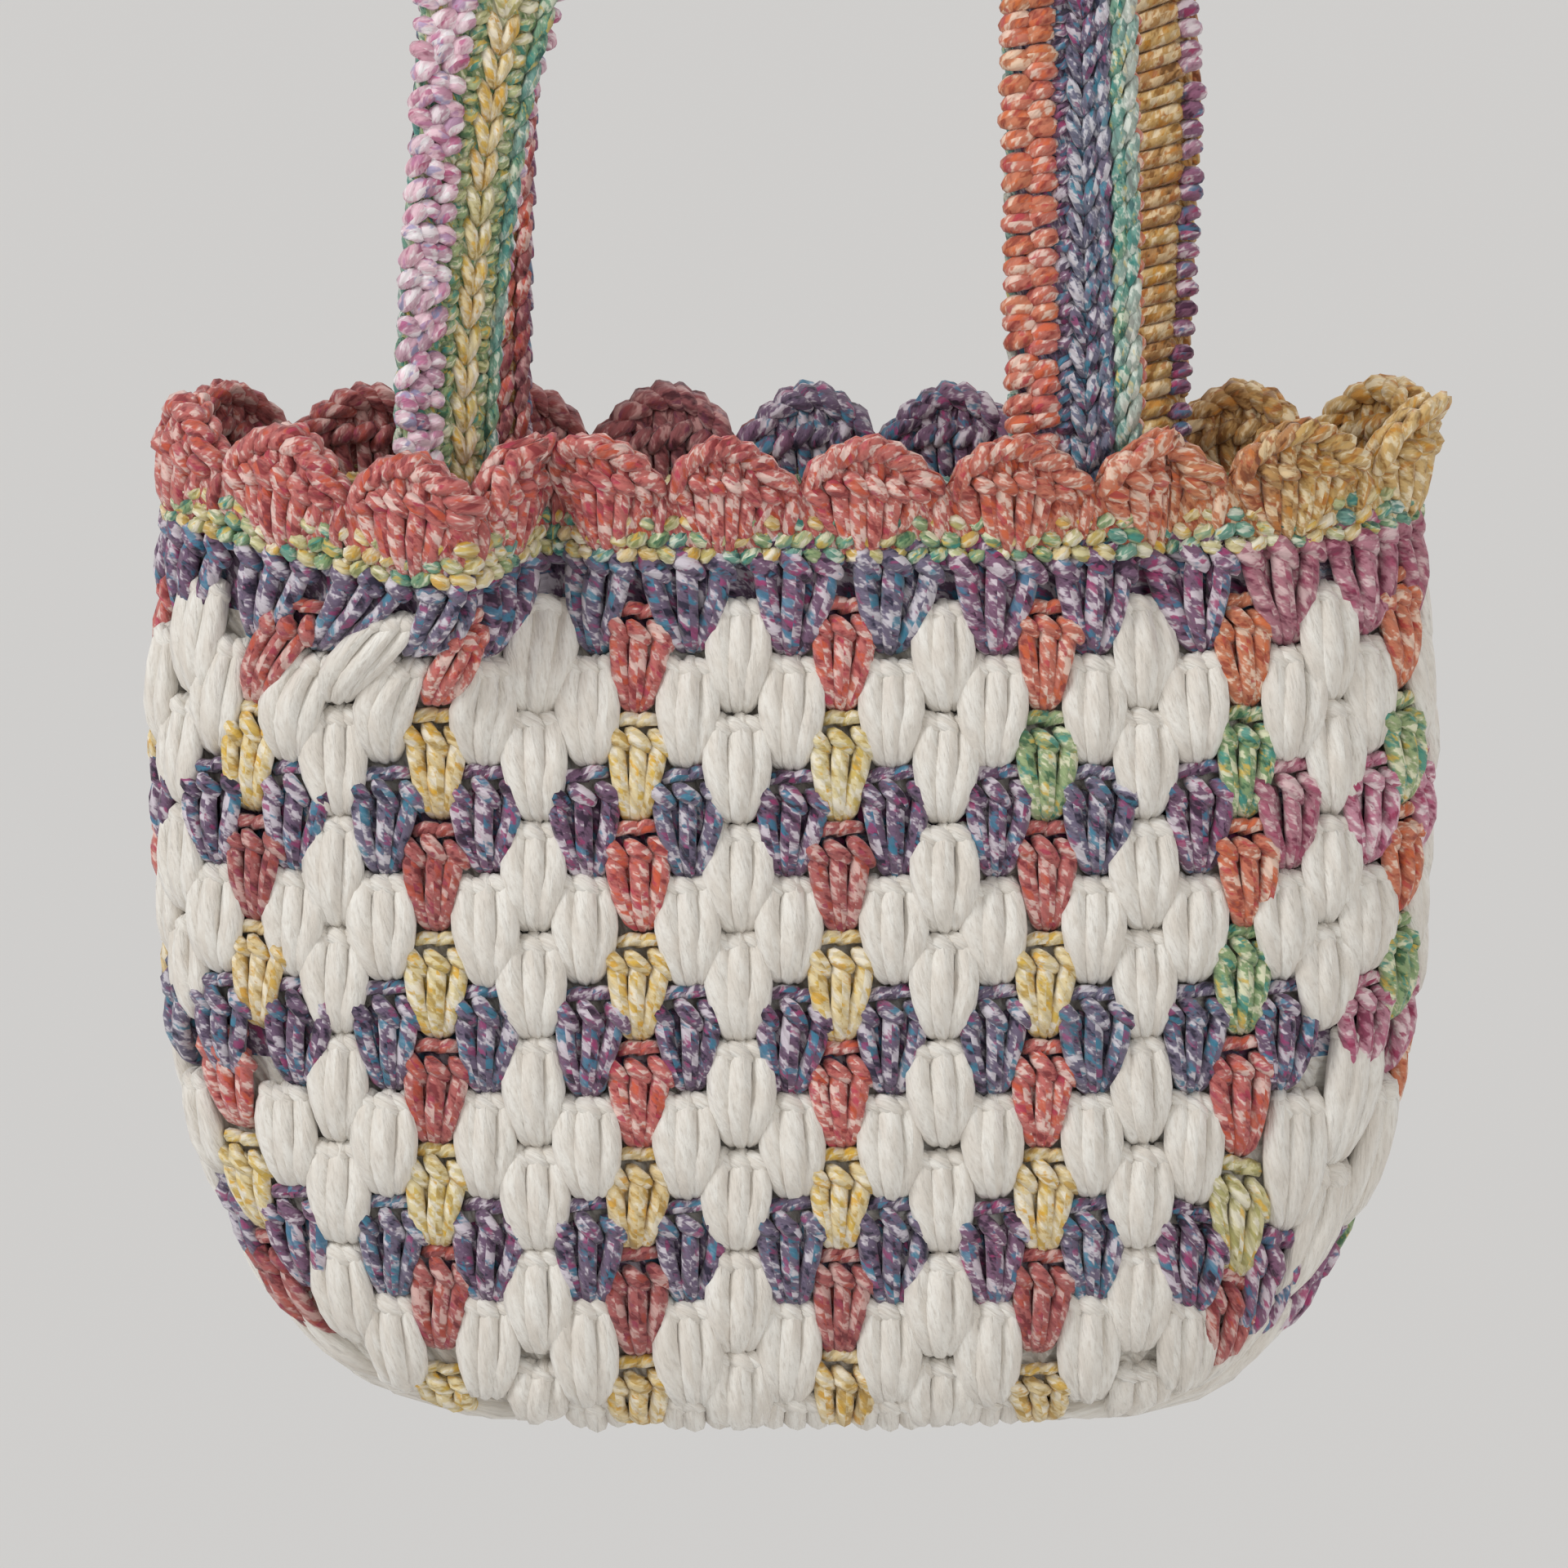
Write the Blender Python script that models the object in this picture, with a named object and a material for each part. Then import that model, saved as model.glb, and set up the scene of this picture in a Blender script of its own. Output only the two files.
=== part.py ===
"""A crocheted bag with a scalloped rim, hanging by its two straps.

Lengths are in metres, +Z is up and the front of the bag faces -Y. The origin is
where the bag hangs: the middle of the underside of the tops of the two straps.
"""

import math
from collections import namedtuple

import bmesh
import bpy
import numpy as np

# Body: the oval sack without its rim
BODY_WIDTH = 0.296
BODY_DEPTH = 0.080
BODY_HEIGHT = 0.208
WALL = 0.007
OUTLINE_POWER = 2.9

# Rim: a band of small stitches under a ring of fan-shaped scallops
BAND_HEIGHT = 0.0068
SCALLOP_COUNT = 20
SCALLOP_HEIGHT = 0.022
VALLEY_HEIGHT = 0.0105
SCALLOP_FLARE = 0.007
SCALLOP_BELLY = 0.0025
SCALLOP_ROUNDNESS = 0.65
SCALLOP_DRIFT = 0.011
DRIFT_RISE = 2.5
DRIFT_FULL = 3.5
DRIFT_END = 10.0
TRIM_THICKNESS = 0.0055

# Straps: doubled-over strips sewn inside the rim
HANDLE_RISE = 0.238
HANDLE_SPREAD = 0.0785
HANDLE_TUCK = 0.028
STRAP_WIDTH = 0.030
STRAP_THICKNESS = 0.011
STRAP_POWER = 2.8

# Folds of the rim and how far down the body they fade out
FOLD_DEPTH = 0.018
FOLD_DROOP = 0.004
RECESS_DEPTH = 0.005
CREASE_DEPTH = 0.006
FOLD_REACH = 0.048
END_LIFT = 0.0055

# Clearances between the separate pieces
SEAM_GAP = 0.0003
SEAT_GAP = 0.0004

# Fineness of the faceted solids
SIDES_PER_SCALLOP = 6
ROUND_SIDES = SCALLOP_COUNT * SIDES_PER_SCALLOP
FINE_SAMPLES = 1440
STRAP_SIDES = 10
SECTIONS_PER_STATION = 2
SEAT_SAMPLES = 8

# Heights, counted from where the bag hangs
BAND_TOP = -HANDLE_RISE
BAND_BOTTOM = BAND_TOP - BAND_HEIGHT
BODY_TOP = BAND_BOTTOM - SEAM_GAP
BODY_BOTTOM = BODY_TOP - BODY_HEIGHT
TRIM_BOTTOM = BAND_TOP + SEAM_GAP

# Sections of the body: height as a share of BODY_HEIGHT, width and depth as shares
# of BODY_WIDTH and BODY_DEPTH
Section = namedtuple("Section", "height width depth")
BODY_SECTIONS = (
    Section(0.000, 0.500, 0.52),
    Section(0.030, 0.650, 0.72),
    Section(0.075, 0.742, 0.82),
    Section(0.150, 0.834, 0.90),
    Section(0.280, 0.922, 0.97),
    Section(0.450, 0.978, 1.01),
    Section(0.680, 1.000, 1.02),
    Section(0.860, 0.995, 1.00),
    Section(0.930, 0.988, 0.99),
    Section(1.000, 0.980, 0.98),
)

# Folds of the front of the rim: where they lie as shares of half the width, left
# of the middle being negative
FOLD_START = -1.00
FOLD_CREST = -0.515
FOLD_FOOT = -0.415
RECESS_PLACE = -0.375
RECESS_SPAN = 0.060
CREASE_PLACE = 0.580
CREASE_SPAN = 0.050
FRONT_BLEND = 0.60

# Stations of a strap from its left end over the top to its right end: rise as a
# share of HANDLE_RISE, across as a share of HANDLE_SPREAD, width as a share of
# STRAP_WIDTH, turn of the flat side in degrees about the upright, and lean as a
# share of the way from the top's place to the seat inside the rim
Station = namedtuple("Station", "rise across width turn lean")
FRONT_STATIONS = (
    Station(0.00, -1.000, 0.78, 25, 1.00),
    Station(0.11, -0.995, 0.80, 25, 1.00),
    Station(0.22, -0.970, 0.83, 22, 0.93),
    Station(0.38, -0.915, 0.90, 16, 0.77),
    Station(0.54, -0.840, 1.12, 12, 0.60),
    Station(0.72, -0.730, 1.08, 30, 0.40),
    Station(0.87, -0.530, 1.00, 62, 0.20),
    Station(0.965, -0.270, 1.00, 82, 0.06),
    Station(1.00, 0.000, 1.00, 90, 0.00),
    Station(0.965, 0.260, 1.00, 98, 0.06),
    Station(0.87, 0.500, 1.00, 118, 0.20),
    Station(0.72, 0.690, 1.00, 150, 0.40),
    Station(0.54, 0.780, 0.98, 176, 0.60),
    Station(0.38, 0.795, 0.97, 180, 0.77),
    Station(0.22, 0.805, 0.97, 180, 0.93),
    Station(0.11, 0.812, 0.97, 180, 1.00),
    Station(0.00, 0.815, 0.97, 180, 1.00),
)
BACK_STATIONS = (
    Station(0.00, -0.950, 0.95, 0, 1.00),
    Station(0.11, -0.950, 0.95, 0, 1.00),
    Station(0.22, -0.945, 0.96, 0, 0.93),
    Station(0.38, -0.925, 0.97, 0, 0.77),
    Station(0.54, -0.870, 1.00, 6, 0.60),
    Station(0.72, -0.750, 1.00, 30, 0.40),
    Station(0.87, -0.540, 1.00, 62, 0.20),
    Station(0.965, -0.270, 1.00, 82, 0.06),
    Station(1.00, 0.000, 1.00, 90, 0.00),
    Station(0.965, 0.280, 1.00, 98, 0.06),
    Station(0.87, 0.560, 1.00, 118, 0.20),
    Station(0.72, 0.800, 1.00, 150, 0.40),
    Station(0.54, 0.955, 0.98, 174, 0.60),
    Station(0.38, 1.010, 0.97, 180, 0.77),
    Station(0.22, 1.000, 0.97, 180, 0.93),
    Station(0.11, 0.985, 0.97, 180, 1.00),
    Station(0.00, 0.975, 0.97, 180, 1.00),
)


def smoothstep(value):
    """0 below 0, 1 above 1, and a smooth rise between."""
    share = np.clip(value, 0.0, 1.0)
    return share * share * (3.0 - 2.0 * share)


def bump(place, centre, span):
    """A rounded bump of height 1 at centre."""
    return np.exp(-(((place - centre) / span) ** 2))


def fold_shape(place):
    """The forward fold left of the middle: a slow rise, a crest and a steep return."""
    rise = smoothstep((place - FOLD_START) / (FOLD_CREST - FOLD_START))
    fall = smoothstep((place - FOLD_CREST) / (FOLD_FOOT - FOLD_CREST))
    return rise * (1.0 - fall)


def wall_point(angle, half_width, half_depth, inset, below_top):
    """X, Y and lift of the wall at an angle, with the folds of the rim.

    Inset moves the point inwards from the outer face. The folds are full at the
    body's top edge and above, and fade out by FOLD_REACH below it.
    """
    cosine = np.cos(angle)
    sine = np.sin(angle)
    exponent = 2.0 / OUTLINE_POWER
    across = np.sign(cosine) * np.abs(cosine) ** exponent
    through = np.sign(sine) * np.abs(sine) ** exponent
    x = (half_width - inset) * across
    y = (half_depth - inset) * through
    weight = smoothstep(1.0 - below_top / FOLD_REACH)
    front = np.clip(-through / FRONT_BLEND, 0.0, 1.0) * weight
    place = x / half_width
    push = FOLD_DEPTH * fold_shape(place)
    push = push - RECESS_DEPTH * bump(place, RECESS_PLACE, RECESS_SPAN)
    push = push - CREASE_DEPTH * bump(place, CREASE_PLACE, CREASE_SPAN)
    lift = weight * END_LIFT * across**4 - front * FOLD_DROOP * fold_shape(across)
    return x, y - front * push, lift


def scallop_drift():
    """How far the scallops left of the middle lie to the right of an even spacing."""
    left = SCALLOP_COUNT * (1.0 - np.arange(ROUND_SIDES) / ROUND_SIDES)
    rise = smoothstep(left / DRIFT_RISE)
    fall = smoothstep((left - DRIFT_FULL) / (DRIFT_END - DRIFT_FULL))
    return SCALLOP_DRIFT * rise * (1.0 - fall)


def even_angles(half_width, half_depth, below_top, drift=0.0):
    """Angles that share the outer line out evenly, from the middle of the front."""
    fine = np.linspace(-0.5 * math.pi, 1.5 * math.pi, FINE_SAMPLES + 1)
    x, y, _ = wall_point(fine, half_width, half_depth, 0.0, below_top)
    steps = np.hypot(np.diff(x), np.diff(y))
    along = np.concatenate(([0.0], np.cumsum(steps)))
    wanted = along[-1] * np.arange(ROUND_SIDES) / ROUND_SIDES + drift
    return np.interp(wanted, along, fine)


def wall_ring(section, inset, height):
    """One closed line of the wall, at a height above the body's bottom."""
    half_width = 0.5 * BODY_WIDTH * section.width
    half_depth = 0.5 * BODY_DEPTH * section.depth
    below_top = max(0.0, BODY_HEIGHT - height)
    angles = even_angles(half_width, half_depth, below_top)
    x, y, lift = wall_point(angles, half_width, half_depth, inset, below_top)
    z = BODY_BOTTOM + height + lift
    return np.column_stack((x, y, z))


def section_slopes():
    """How much the half-width grows with height at each section."""
    heights = [BODY_HEIGHT * section.height for section in BODY_SECTIONS]
    halves = [0.5 * BODY_WIDTH * section.width for section in BODY_SECTIONS]
    return np.gradient(np.array(halves), np.array(heights))


def inner_sections():
    """Inner lines of the body: each section moved inwards, square to the wall."""
    rings = []
    for section, slope in zip(BODY_SECTIONS, section_slopes()):
        across = 1.0 / math.hypot(1.0, slope)
        height = BODY_HEIGHT * section.height + WALL * slope * across
        rings.append(wall_ring(section, WALL * across, height))
    rings[0][:, 2] = BODY_BOTTOM + WALL
    rings[-1] = wall_ring(BODY_SECTIONS[-1], WALL, BODY_HEIGHT)
    return rings


def closed_solid(name, rings, looped):
    """A closed body through rings of points, capped or joined end to end."""
    mesh = bmesh.new()
    rows = [[mesh.verts.new(point) for point in ring] for ring in rings]
    pairs = list(zip(rows, rows[1:]))
    if looped:
        pairs.append((rows[-1], rows[0]))
    else:
        mesh.faces.new(rows[0])
        mesh.faces.new(rows[-1])
    for lower, upper in pairs:
        count = len(lower)
        for i in range(count):
            j = (i + 1) % count
            mesh.faces.new((lower[i], lower[j], upper[j], upper[i]))
    bmesh.ops.recalc_face_normals(mesh, faces=mesh.faces)
    data = bpy.data.meshes.new(name)
    mesh.to_mesh(data)
    mesh.free()
    data.shade_smooth()
    data.set_sharp_from_angle(angle=math.radians(50.0))
    solid = bpy.data.objects.new(name, data)
    bpy.context.scene.collection.objects.link(solid)
    return solid


def body_rings():
    """Outer lines from the base up, then inner lines from the mouth down."""
    outer = []
    for section in BODY_SECTIONS:
        outer.append(wall_ring(section, 0.0, BODY_HEIGHT * section.height))
    return outer + inner_sections()[::-1]


def band_rings():
    """The low band that stands on the body's top edge."""
    top = BODY_SECTIONS[-1]
    low = BAND_BOTTOM - BODY_BOTTOM
    high = BAND_TOP - BODY_BOTTOM
    return [
        wall_ring(top, 0.0, low),
        wall_ring(top, 0.0, high),
        wall_ring(top, WALL, high),
        wall_ring(top, WALL, low),
    ]


def trim_line(share, inset):
    """One line of the scalloped trim, at a share of the height of each scallop."""
    top = BODY_SECTIONS[-1]
    start = TRIM_BOTTOM - BODY_BOTTOM
    phase = (np.arange(ROUND_SIDES) % SIDES_PER_SCALLOP) / SIDES_PER_SCALLOP
    arch = np.sin(math.pi * phase) ** SCALLOP_ROUNDNESS
    height = share * (VALLEY_HEIGHT + (SCALLOP_HEIGHT - VALLEY_HEIGHT) * arch)
    outward = SCALLOP_FLARE * share**2 * arch
    outward = outward + SCALLOP_BELLY * math.sin(math.pi * share) * arch
    half_width = 0.5 * BODY_WIDTH * top.width
    half_depth = 0.5 * BODY_DEPTH * top.depth
    angles = even_angles(half_width, half_depth, 0.0, scallop_drift())
    x, y, lift = wall_point(angles, half_width, half_depth, inset - outward, 0.0)
    return np.column_stack((x, y, BODY_BOTTOM + start + lift + height))


def trim_rings():
    """The ruffle: up its outer face, over its rolled edge and down its inner face."""
    edge = 0.5 * TRIM_THICKNESS
    return [
        trim_line(0.00, 0.0),
        trim_line(0.35, 0.0),
        trim_line(0.75, 0.0),
        trim_line(1.00, edge),
        trim_line(0.75, TRIM_THICKNESS),
        trim_line(0.35, TRIM_THICKNESS),
        trim_line(0.00, TRIM_THICKNESS),
    ]


def between(rows, count):
    """Rows of numbers made finer by a smooth curve through all of them."""
    rows = np.array(rows, dtype=float)
    padded = np.vstack((2 * rows[0] - rows[1], rows, 2 * rows[-1] - rows[-2]))
    finer = []
    for i in range(len(rows) - 1):
        a, b, c, d = padded[i : i + 4]
        for step in range(count):
            t = step / count
            flow = 2 * b + (c - a) * t + (2 * a - 5 * b + 4 * c - d) * t**2
            finer.append(0.5 * (flow + (3 * b - a - 3 * c + d) * t**3))
    finer.append(rows[-1])
    return np.array(finer)


def strap_section(width):
    """Outline of the strap's section: across its width and through it."""
    angles = 2.0 * math.pi * np.arange(STRAP_SIDES) / STRAP_SIDES
    cosine = np.cos(angles)
    sine = np.sin(angles)
    exponent = 2.0 / STRAP_POWER
    across = 0.5 * width * np.sign(cosine) * np.abs(cosine) ** exponent
    through = 0.5 * STRAP_THICKNESS * np.sign(sine) * np.abs(sine) ** exponent
    return across, through


def inner_lines():
    """Lines of the inner face beside the sewn ends of the straps."""
    lowest = BAND_TOP - HANDLE_TUCK - WALL
    rings = inner_sections() + band_rings()[2:3]
    lines = []
    for lower, upper in zip(rings, rings[1:]):
        for step in range(SEAT_SAMPLES + 1):
            line = lower + (upper - lower) * step / SEAT_SAMPLES
            if line[:, 2].max() > lowest:
                lines.append(line)
    return lines


def seat(station, side):
    """Y of the middle of a sewn end that lies against the inner face.

    Side is -1 at the front and 1 at the back.
    """
    turn = math.radians(station.turn)
    across, through = strap_section(STRAP_WIDTH * station.width)
    edge_x = HANDLE_SPREAD * station.across + across * math.cos(turn)
    edge_x = edge_x - through * math.sin(turn)
    edge_y = across * math.sin(turn) + through * math.cos(turn)
    shares = np.linspace(0.0, 1.0, SEAT_SAMPLES + 1)
    sides = [np.column_stack((edge_x, edge_y))]
    for share in shares[1:-1]:
        moved = np.roll(sides[0], -1, axis=0)
        sides.append(sides[0] + (moved - sides[0]) * share)
    points = np.vstack(sides)
    reach = 0.5 * BODY_DEPTH
    for line in inner_lines():
        half = line[side * line[:, 1] > 0]
        half = half[np.argsort(half[:, 0])]
        wall_y = side * np.interp(points[:, 0], half[:, 0], half[:, 1])
        reach = min(reach, float(np.min(wall_y - side * points[:, 1])))
    return side * (reach - SEAT_GAP)


def strap_rings(stations, side):
    """Sections of a strap from one sewn end over the top to the other."""
    left, right = stations[0], stations[-1]
    seats = (seat(left, side), seat(right, side))
    top_y = side * 0.5 * (STRAP_WIDTH + SEAM_GAP)
    rise = HANDLE_RISE + 0.5 * STRAP_THICKNESS
    rows = []
    for index, station in enumerate(stations):
        seat_y = seats[0] if index < len(stations) // 2 else seats[1]
        x = HANDLE_SPREAD * station.across
        y = top_y + (seat_y - top_y) * station.lean
        z = BAND_TOP + rise * station.rise
        rows.append((x, y, z, station.width, station.turn))
    first = list(rows[0])
    last = list(rows[-1])
    first[2] = last[2] = BAND_TOP - HANDLE_TUCK
    finer = between([first] + rows + [last], SECTIONS_PER_STATION)
    path = finer[:, :3]
    tangents = np.gradient(path, axis=0)
    tangents /= np.linalg.norm(tangents, axis=1)[:, None]
    rings = []
    for place, tangent, row in zip(path, tangents, finer):
        turn = math.radians(row[4])
        flat = np.array((math.cos(turn), math.sin(turn), 0.0))
        flat = flat - tangent * float(flat @ tangent)
        flat /= np.linalg.norm(flat)
        normal = np.cross(tangent, flat)
        across, through = strap_section(STRAP_WIDTH * row[3])
        rings.append(place + np.outer(across, flat) + np.outer(through, normal))
    return rings


def yarn(name, colour, roughness):
    """A matt yarn material of one colour."""
    material = bpy.data.materials.new(name)
    material.use_nodes = True
    shader = material.node_tree.nodes["Principled BSDF"]
    shader.inputs["Base Color"].default_value = (*colour, 1.0)
    shader.inputs["Roughness"].default_value = roughness
    shader.inputs["Metallic"].default_value = 0.0
    return material


def main():
    """Builds the bag as five separate pieces."""
    for old in list(bpy.data.objects):
        bpy.data.objects.remove(old, do_unlink=True)
    pieces = (
        ("bag_body", body_rings(), False, (0.72, 0.66, 0.63), 0.90),
        ("rim_band", band_rings(), True, (0.42, 0.47, 0.32), 0.88),
        ("scallop_trim", trim_rings(), True, (0.62, 0.22, 0.20), 0.88),
        ("front_handle", strap_rings(FRONT_STATIONS, -1), False, (0.55, 0.33, 0.36), 0.88),
        ("back_handle", strap_rings(BACK_STATIONS, 1), False, (0.60, 0.38, 0.20), 0.88),
    )
    for name, rings, looped, colour, roughness in pieces:
        solid = closed_solid(name, rings, looped)
        solid.data.materials.append(yarn(name + "_yarn", colour, roughness))


main()
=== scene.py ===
"""Looks of the crocheted bag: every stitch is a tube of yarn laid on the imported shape."""
import math
from collections import namedtuple

import bpy
import numpy as np
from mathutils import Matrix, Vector


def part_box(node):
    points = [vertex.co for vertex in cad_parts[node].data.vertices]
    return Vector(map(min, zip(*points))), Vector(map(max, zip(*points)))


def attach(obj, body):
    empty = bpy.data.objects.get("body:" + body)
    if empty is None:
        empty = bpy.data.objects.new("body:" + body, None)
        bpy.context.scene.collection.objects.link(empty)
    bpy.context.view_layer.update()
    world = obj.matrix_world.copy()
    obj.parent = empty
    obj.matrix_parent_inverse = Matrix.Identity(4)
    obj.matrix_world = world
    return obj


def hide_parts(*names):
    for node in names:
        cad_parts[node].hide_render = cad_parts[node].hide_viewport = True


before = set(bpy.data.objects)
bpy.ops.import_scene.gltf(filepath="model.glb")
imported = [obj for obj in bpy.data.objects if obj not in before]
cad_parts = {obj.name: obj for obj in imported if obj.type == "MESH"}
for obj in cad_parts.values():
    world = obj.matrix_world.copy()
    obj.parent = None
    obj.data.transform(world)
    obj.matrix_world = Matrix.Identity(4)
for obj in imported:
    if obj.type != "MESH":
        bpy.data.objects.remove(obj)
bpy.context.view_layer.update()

# Sizes of the body, the same as in the solids
BODY_LOW, BODY_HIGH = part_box("bag_body")
BODY_WIDTH = BODY_HIGH[0] - BODY_LOW[0]
BODY_BOTTOM = BODY_LOW[2]
BODY_DEPTH = 0.080
BODY_HEIGHT = 0.208
OUTLINE_POWER = 2.9
BODY_TOP = BODY_BOTTOM + BODY_HEIGHT

# Sizes of the rim and the straps
SEAM_GAP = 0.0003
BAND_HEIGHT = 0.0068
BAND_BOTTOM = BODY_TOP + SEAM_GAP
BAND_TOP = BAND_BOTTOM + BAND_HEIGHT
SCALLOP_COUNT = 20
SCALLOP_HEIGHT = 0.022
VALLEY_HEIGHT = 0.0105
SCALLOP_FLARE = 0.007
SCALLOP_DRIFT = 0.011
DRIFT_RISE = 2.5
DRIFT_FULL = 3.5
DRIFT_END = 10.0
HANDLE_RISE = -BAND_TOP
HANDLE_SPREAD = 0.0785
HANDLE_TUCK = 0.028
CHANGE_OVER = 0.045
STRAP_WIDTH = 0.030
STRAP_THICKNESS = 0.011

# Folds of the rim, as in the solids but for a deeper recess right of the fold
FOLD_DEPTH = 0.018
FOLD_DROOP = 0.004
RECESS_DEPTH = 0.011
CREASE_DEPTH = 0.006
FOLD_REACH = 0.048
END_LIFT = 0.0055
FOLD_START = -1.00
FOLD_CREST = -0.515
FOLD_FOOT = -0.415
RECESS_PLACE = -0.375
RECESS_SPAN = 0.060
CREASE_PLACE = 0.580
CREASE_SPAN = 0.050
FRONT_BLEND = 0.60

# Sections of the body: shares of its height, width and depth
Section = namedtuple("Section", "height width depth")
BODY_SECTIONS = (
    Section(0.000, 0.500, 0.52),
    Section(0.030, 0.650, 0.72),
    Section(0.075, 0.742, 0.82),
    Section(0.150, 0.834, 0.90),
    Section(0.280, 0.922, 0.97),
    Section(0.450, 0.978, 1.01),
    Section(0.680, 1.000, 1.02),
    Section(0.860, 0.995, 1.00),
    Section(0.930, 0.988, 0.99),
    Section(1.000, 0.980, 0.98),
)

# Yarn and stitches: each strand starts at a random place along a yarn 400 mm long, and the
# same place decides how far to one side the trim's tone is read
MM = 0.001
FULL_TURN = 2.0 * math.pi
TINY = 1e-12
PLY_RELIEF = 0.085
YARN_LENGTH = 400.0
TONE_STRAY = 0.035
STITCH_PITCH = 0.0232
PATTERN_START = 0.0111
FRONT_SPAN = 0.106
ROW_COUNT = 16
TOP_ROW = 0.9485
ROW_STEP = 0.0612
STITCH_INSET = 0.0058
LINING_INSET = 0.0064
BASE_ROWS = 2
DIP_DEPTH = 0.017
BAND_PITCH = 0.0047
TRIM_FOOT = BAND_TOP + SEAM_GAP
TRIM_THICKNESS = 0.0055
TRIM_SINK = 0.0022

# Placing and kinds of stitches: levels are shares of the body's height, turns are in radians,
# and a side starts at a share of the way round
STITCH_TURN = 0.06
STITCH_STRAY = 0.0005
TOP_ROW_RAISE = 0.006
LOW_ROW = 12
LOW_STRETCH = 0.06
LOWEST_ROW = 14
LOWEST_STRETCH = 0.10
SIDE_START = 0.165
SIDE_SPAN = 0.06
KNOT_LEVEL = 0.992
KNOT_PITCH = 0.0049
KNOT_INSET = 0.0060
KNOT_KINDS = 12
SHELL_KINDS = 5
ANCHOR_KINDS = 4
LINING_BUMPS = 84.0
LINING_RELIEF = 0.0016

# Camera and light
CAMERA_ELEVATION = 10.8
CAMERA_DISTANCE = 1.8
FRAME_WIDTH = 0.3545
CAMERA_AIM = (-0.002, -0.040, -0.297)
LIGHT_AIM = (0.0, 0.0, -0.32)
FLOOR_HALF = 60.0
FLOOR_LEVEL = -2.4
FLOOR_GLOW = 0.40
WORLD_STRENGTH = 0.63
Lamp = namedtuple("Lamp", "name place size power")
LAMPS = (
    Lamp("key_light", (-2.25, -1.3, 1.45), 1.3, 50.0),
    Lamp("fill_light", (1.3, -1.9, 0.5), 1.8, 12.0),
    Lamp("back_light", (0.9, 2.1, 1.5), 1.6, 26.0),
)

chance = np.random.default_rng(7)


def loose(amount):
    """A small random amount either way, for what varies from stitch to stitch."""
    return chance.uniform(-amount, amount)


def smoothstep(value):
    """0 below 0, 1 above 1, and a smooth rise between."""
    share = np.clip(value, 0.0, 1.0)
    return share * share * (3.0 - 2.0 * share)


def bump(place, centre, span):
    """A rounded bump of height 1 at centre."""
    return np.exp(-(((place - centre) / span) ** 2))


def fold_shape(place):
    """The forward fold left of the middle: a slow rise, a crest and a steep return."""
    rise = smoothstep((place - FOLD_START) / (FOLD_CREST - FOLD_START))
    fall = smoothstep((place - FOLD_CREST) / (FOLD_FOOT - FOLD_CREST))
    return rise * (1.0 - fall)


def between(rows, count):
    """Rows of numbers made finer by a smooth curve through all of them."""
    rows = np.array(rows, dtype=float)
    padded = np.vstack((2 * rows[0] - rows[1], rows, 2 * rows[-1] - rows[-2]))
    finer = []
    for i in range(len(rows) - 1):
        a, b, c, d = padded[i : i + 4]
        for step in range(count):
            t = step / count
            flow = 2 * b + (c - a) * t + (2 * a - 5 * b + 4 * c - d) * t**2
            finer.append(0.5 * (flow + (3 * b - a - 3 * c + d) * t**3))
    finer.append(rows[-1])
    return np.array(finer)


def grid_faces(rows, columns, closed=True):
    """Faces between the points of a grid, each row of which may close into a ring."""
    number = np.arange(rows * columns).reshape(rows, columns)
    following = np.roll(number, -1, axis=1)
    faces = np.stack((number[:-1], following[:-1], following[1:], number[1:]), axis=-1)
    return faces if closed else faces[:, :-1]


SMOOTH_SECTIONS = between(BODY_SECTIONS, 6)


def half_sizes(height):
    """Half the width and half the depth of the body at shares of its height."""
    width = np.interp(height, SMOOTH_SECTIONS[:, 0], SMOOTH_SECTIONS[:, 1])
    depth = np.interp(height, SMOOTH_SECTIONS[:, 0], SMOOTH_SECTIONS[:, 2])
    return 0.5 * BODY_WIDTH * width, 0.5 * BODY_DEPTH * depth


def wall_place(angle, height, inset):
    """Points of the wall at angles, at shares of the body's height, moved inwards.

    Heights below zero run inwards over the base.
    """
    half_width, half_depth = half_sizes(height)
    under = np.clip(-height, 0.0, 1.0) * BODY_HEIGHT
    half_width = np.maximum(half_width - under, 0.0005)
    half_depth = np.maximum(half_depth - under, 0.0005)
    cosine = np.cos(angle)
    sine = np.sin(angle)
    exponent = 2.0 / OUTLINE_POWER
    across = np.sign(cosine) * np.abs(cosine) ** exponent
    through = np.sign(sine) * np.abs(sine) ** exponent
    x = (half_width - inset) * across
    y = (half_depth - inset) * through
    below_top = np.clip(1.0 - height, 0.0, 1.0) * BODY_HEIGHT
    weight = smoothstep(1.0 - below_top / FOLD_REACH)
    front = np.clip(-through / FRONT_BLEND, 0.0, 1.0) * weight
    place = x / half_width
    push = FOLD_DEPTH * fold_shape(place)
    push = push - RECESS_DEPTH * bump(place, RECESS_PLACE, RECESS_SPAN)
    push = push - CREASE_DEPTH * bump(place, CREASE_PLACE, CREASE_SPAN)
    lift = weight * END_LIFT * across**4 - front * FOLD_DROOP * fold_shape(across)
    z = BODY_BOTTOM + BODY_HEIGHT * np.maximum(height, 0.0) + lift
    return np.stack(np.broadcast_arrays(x, y - front * push, z), axis=-1)


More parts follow.
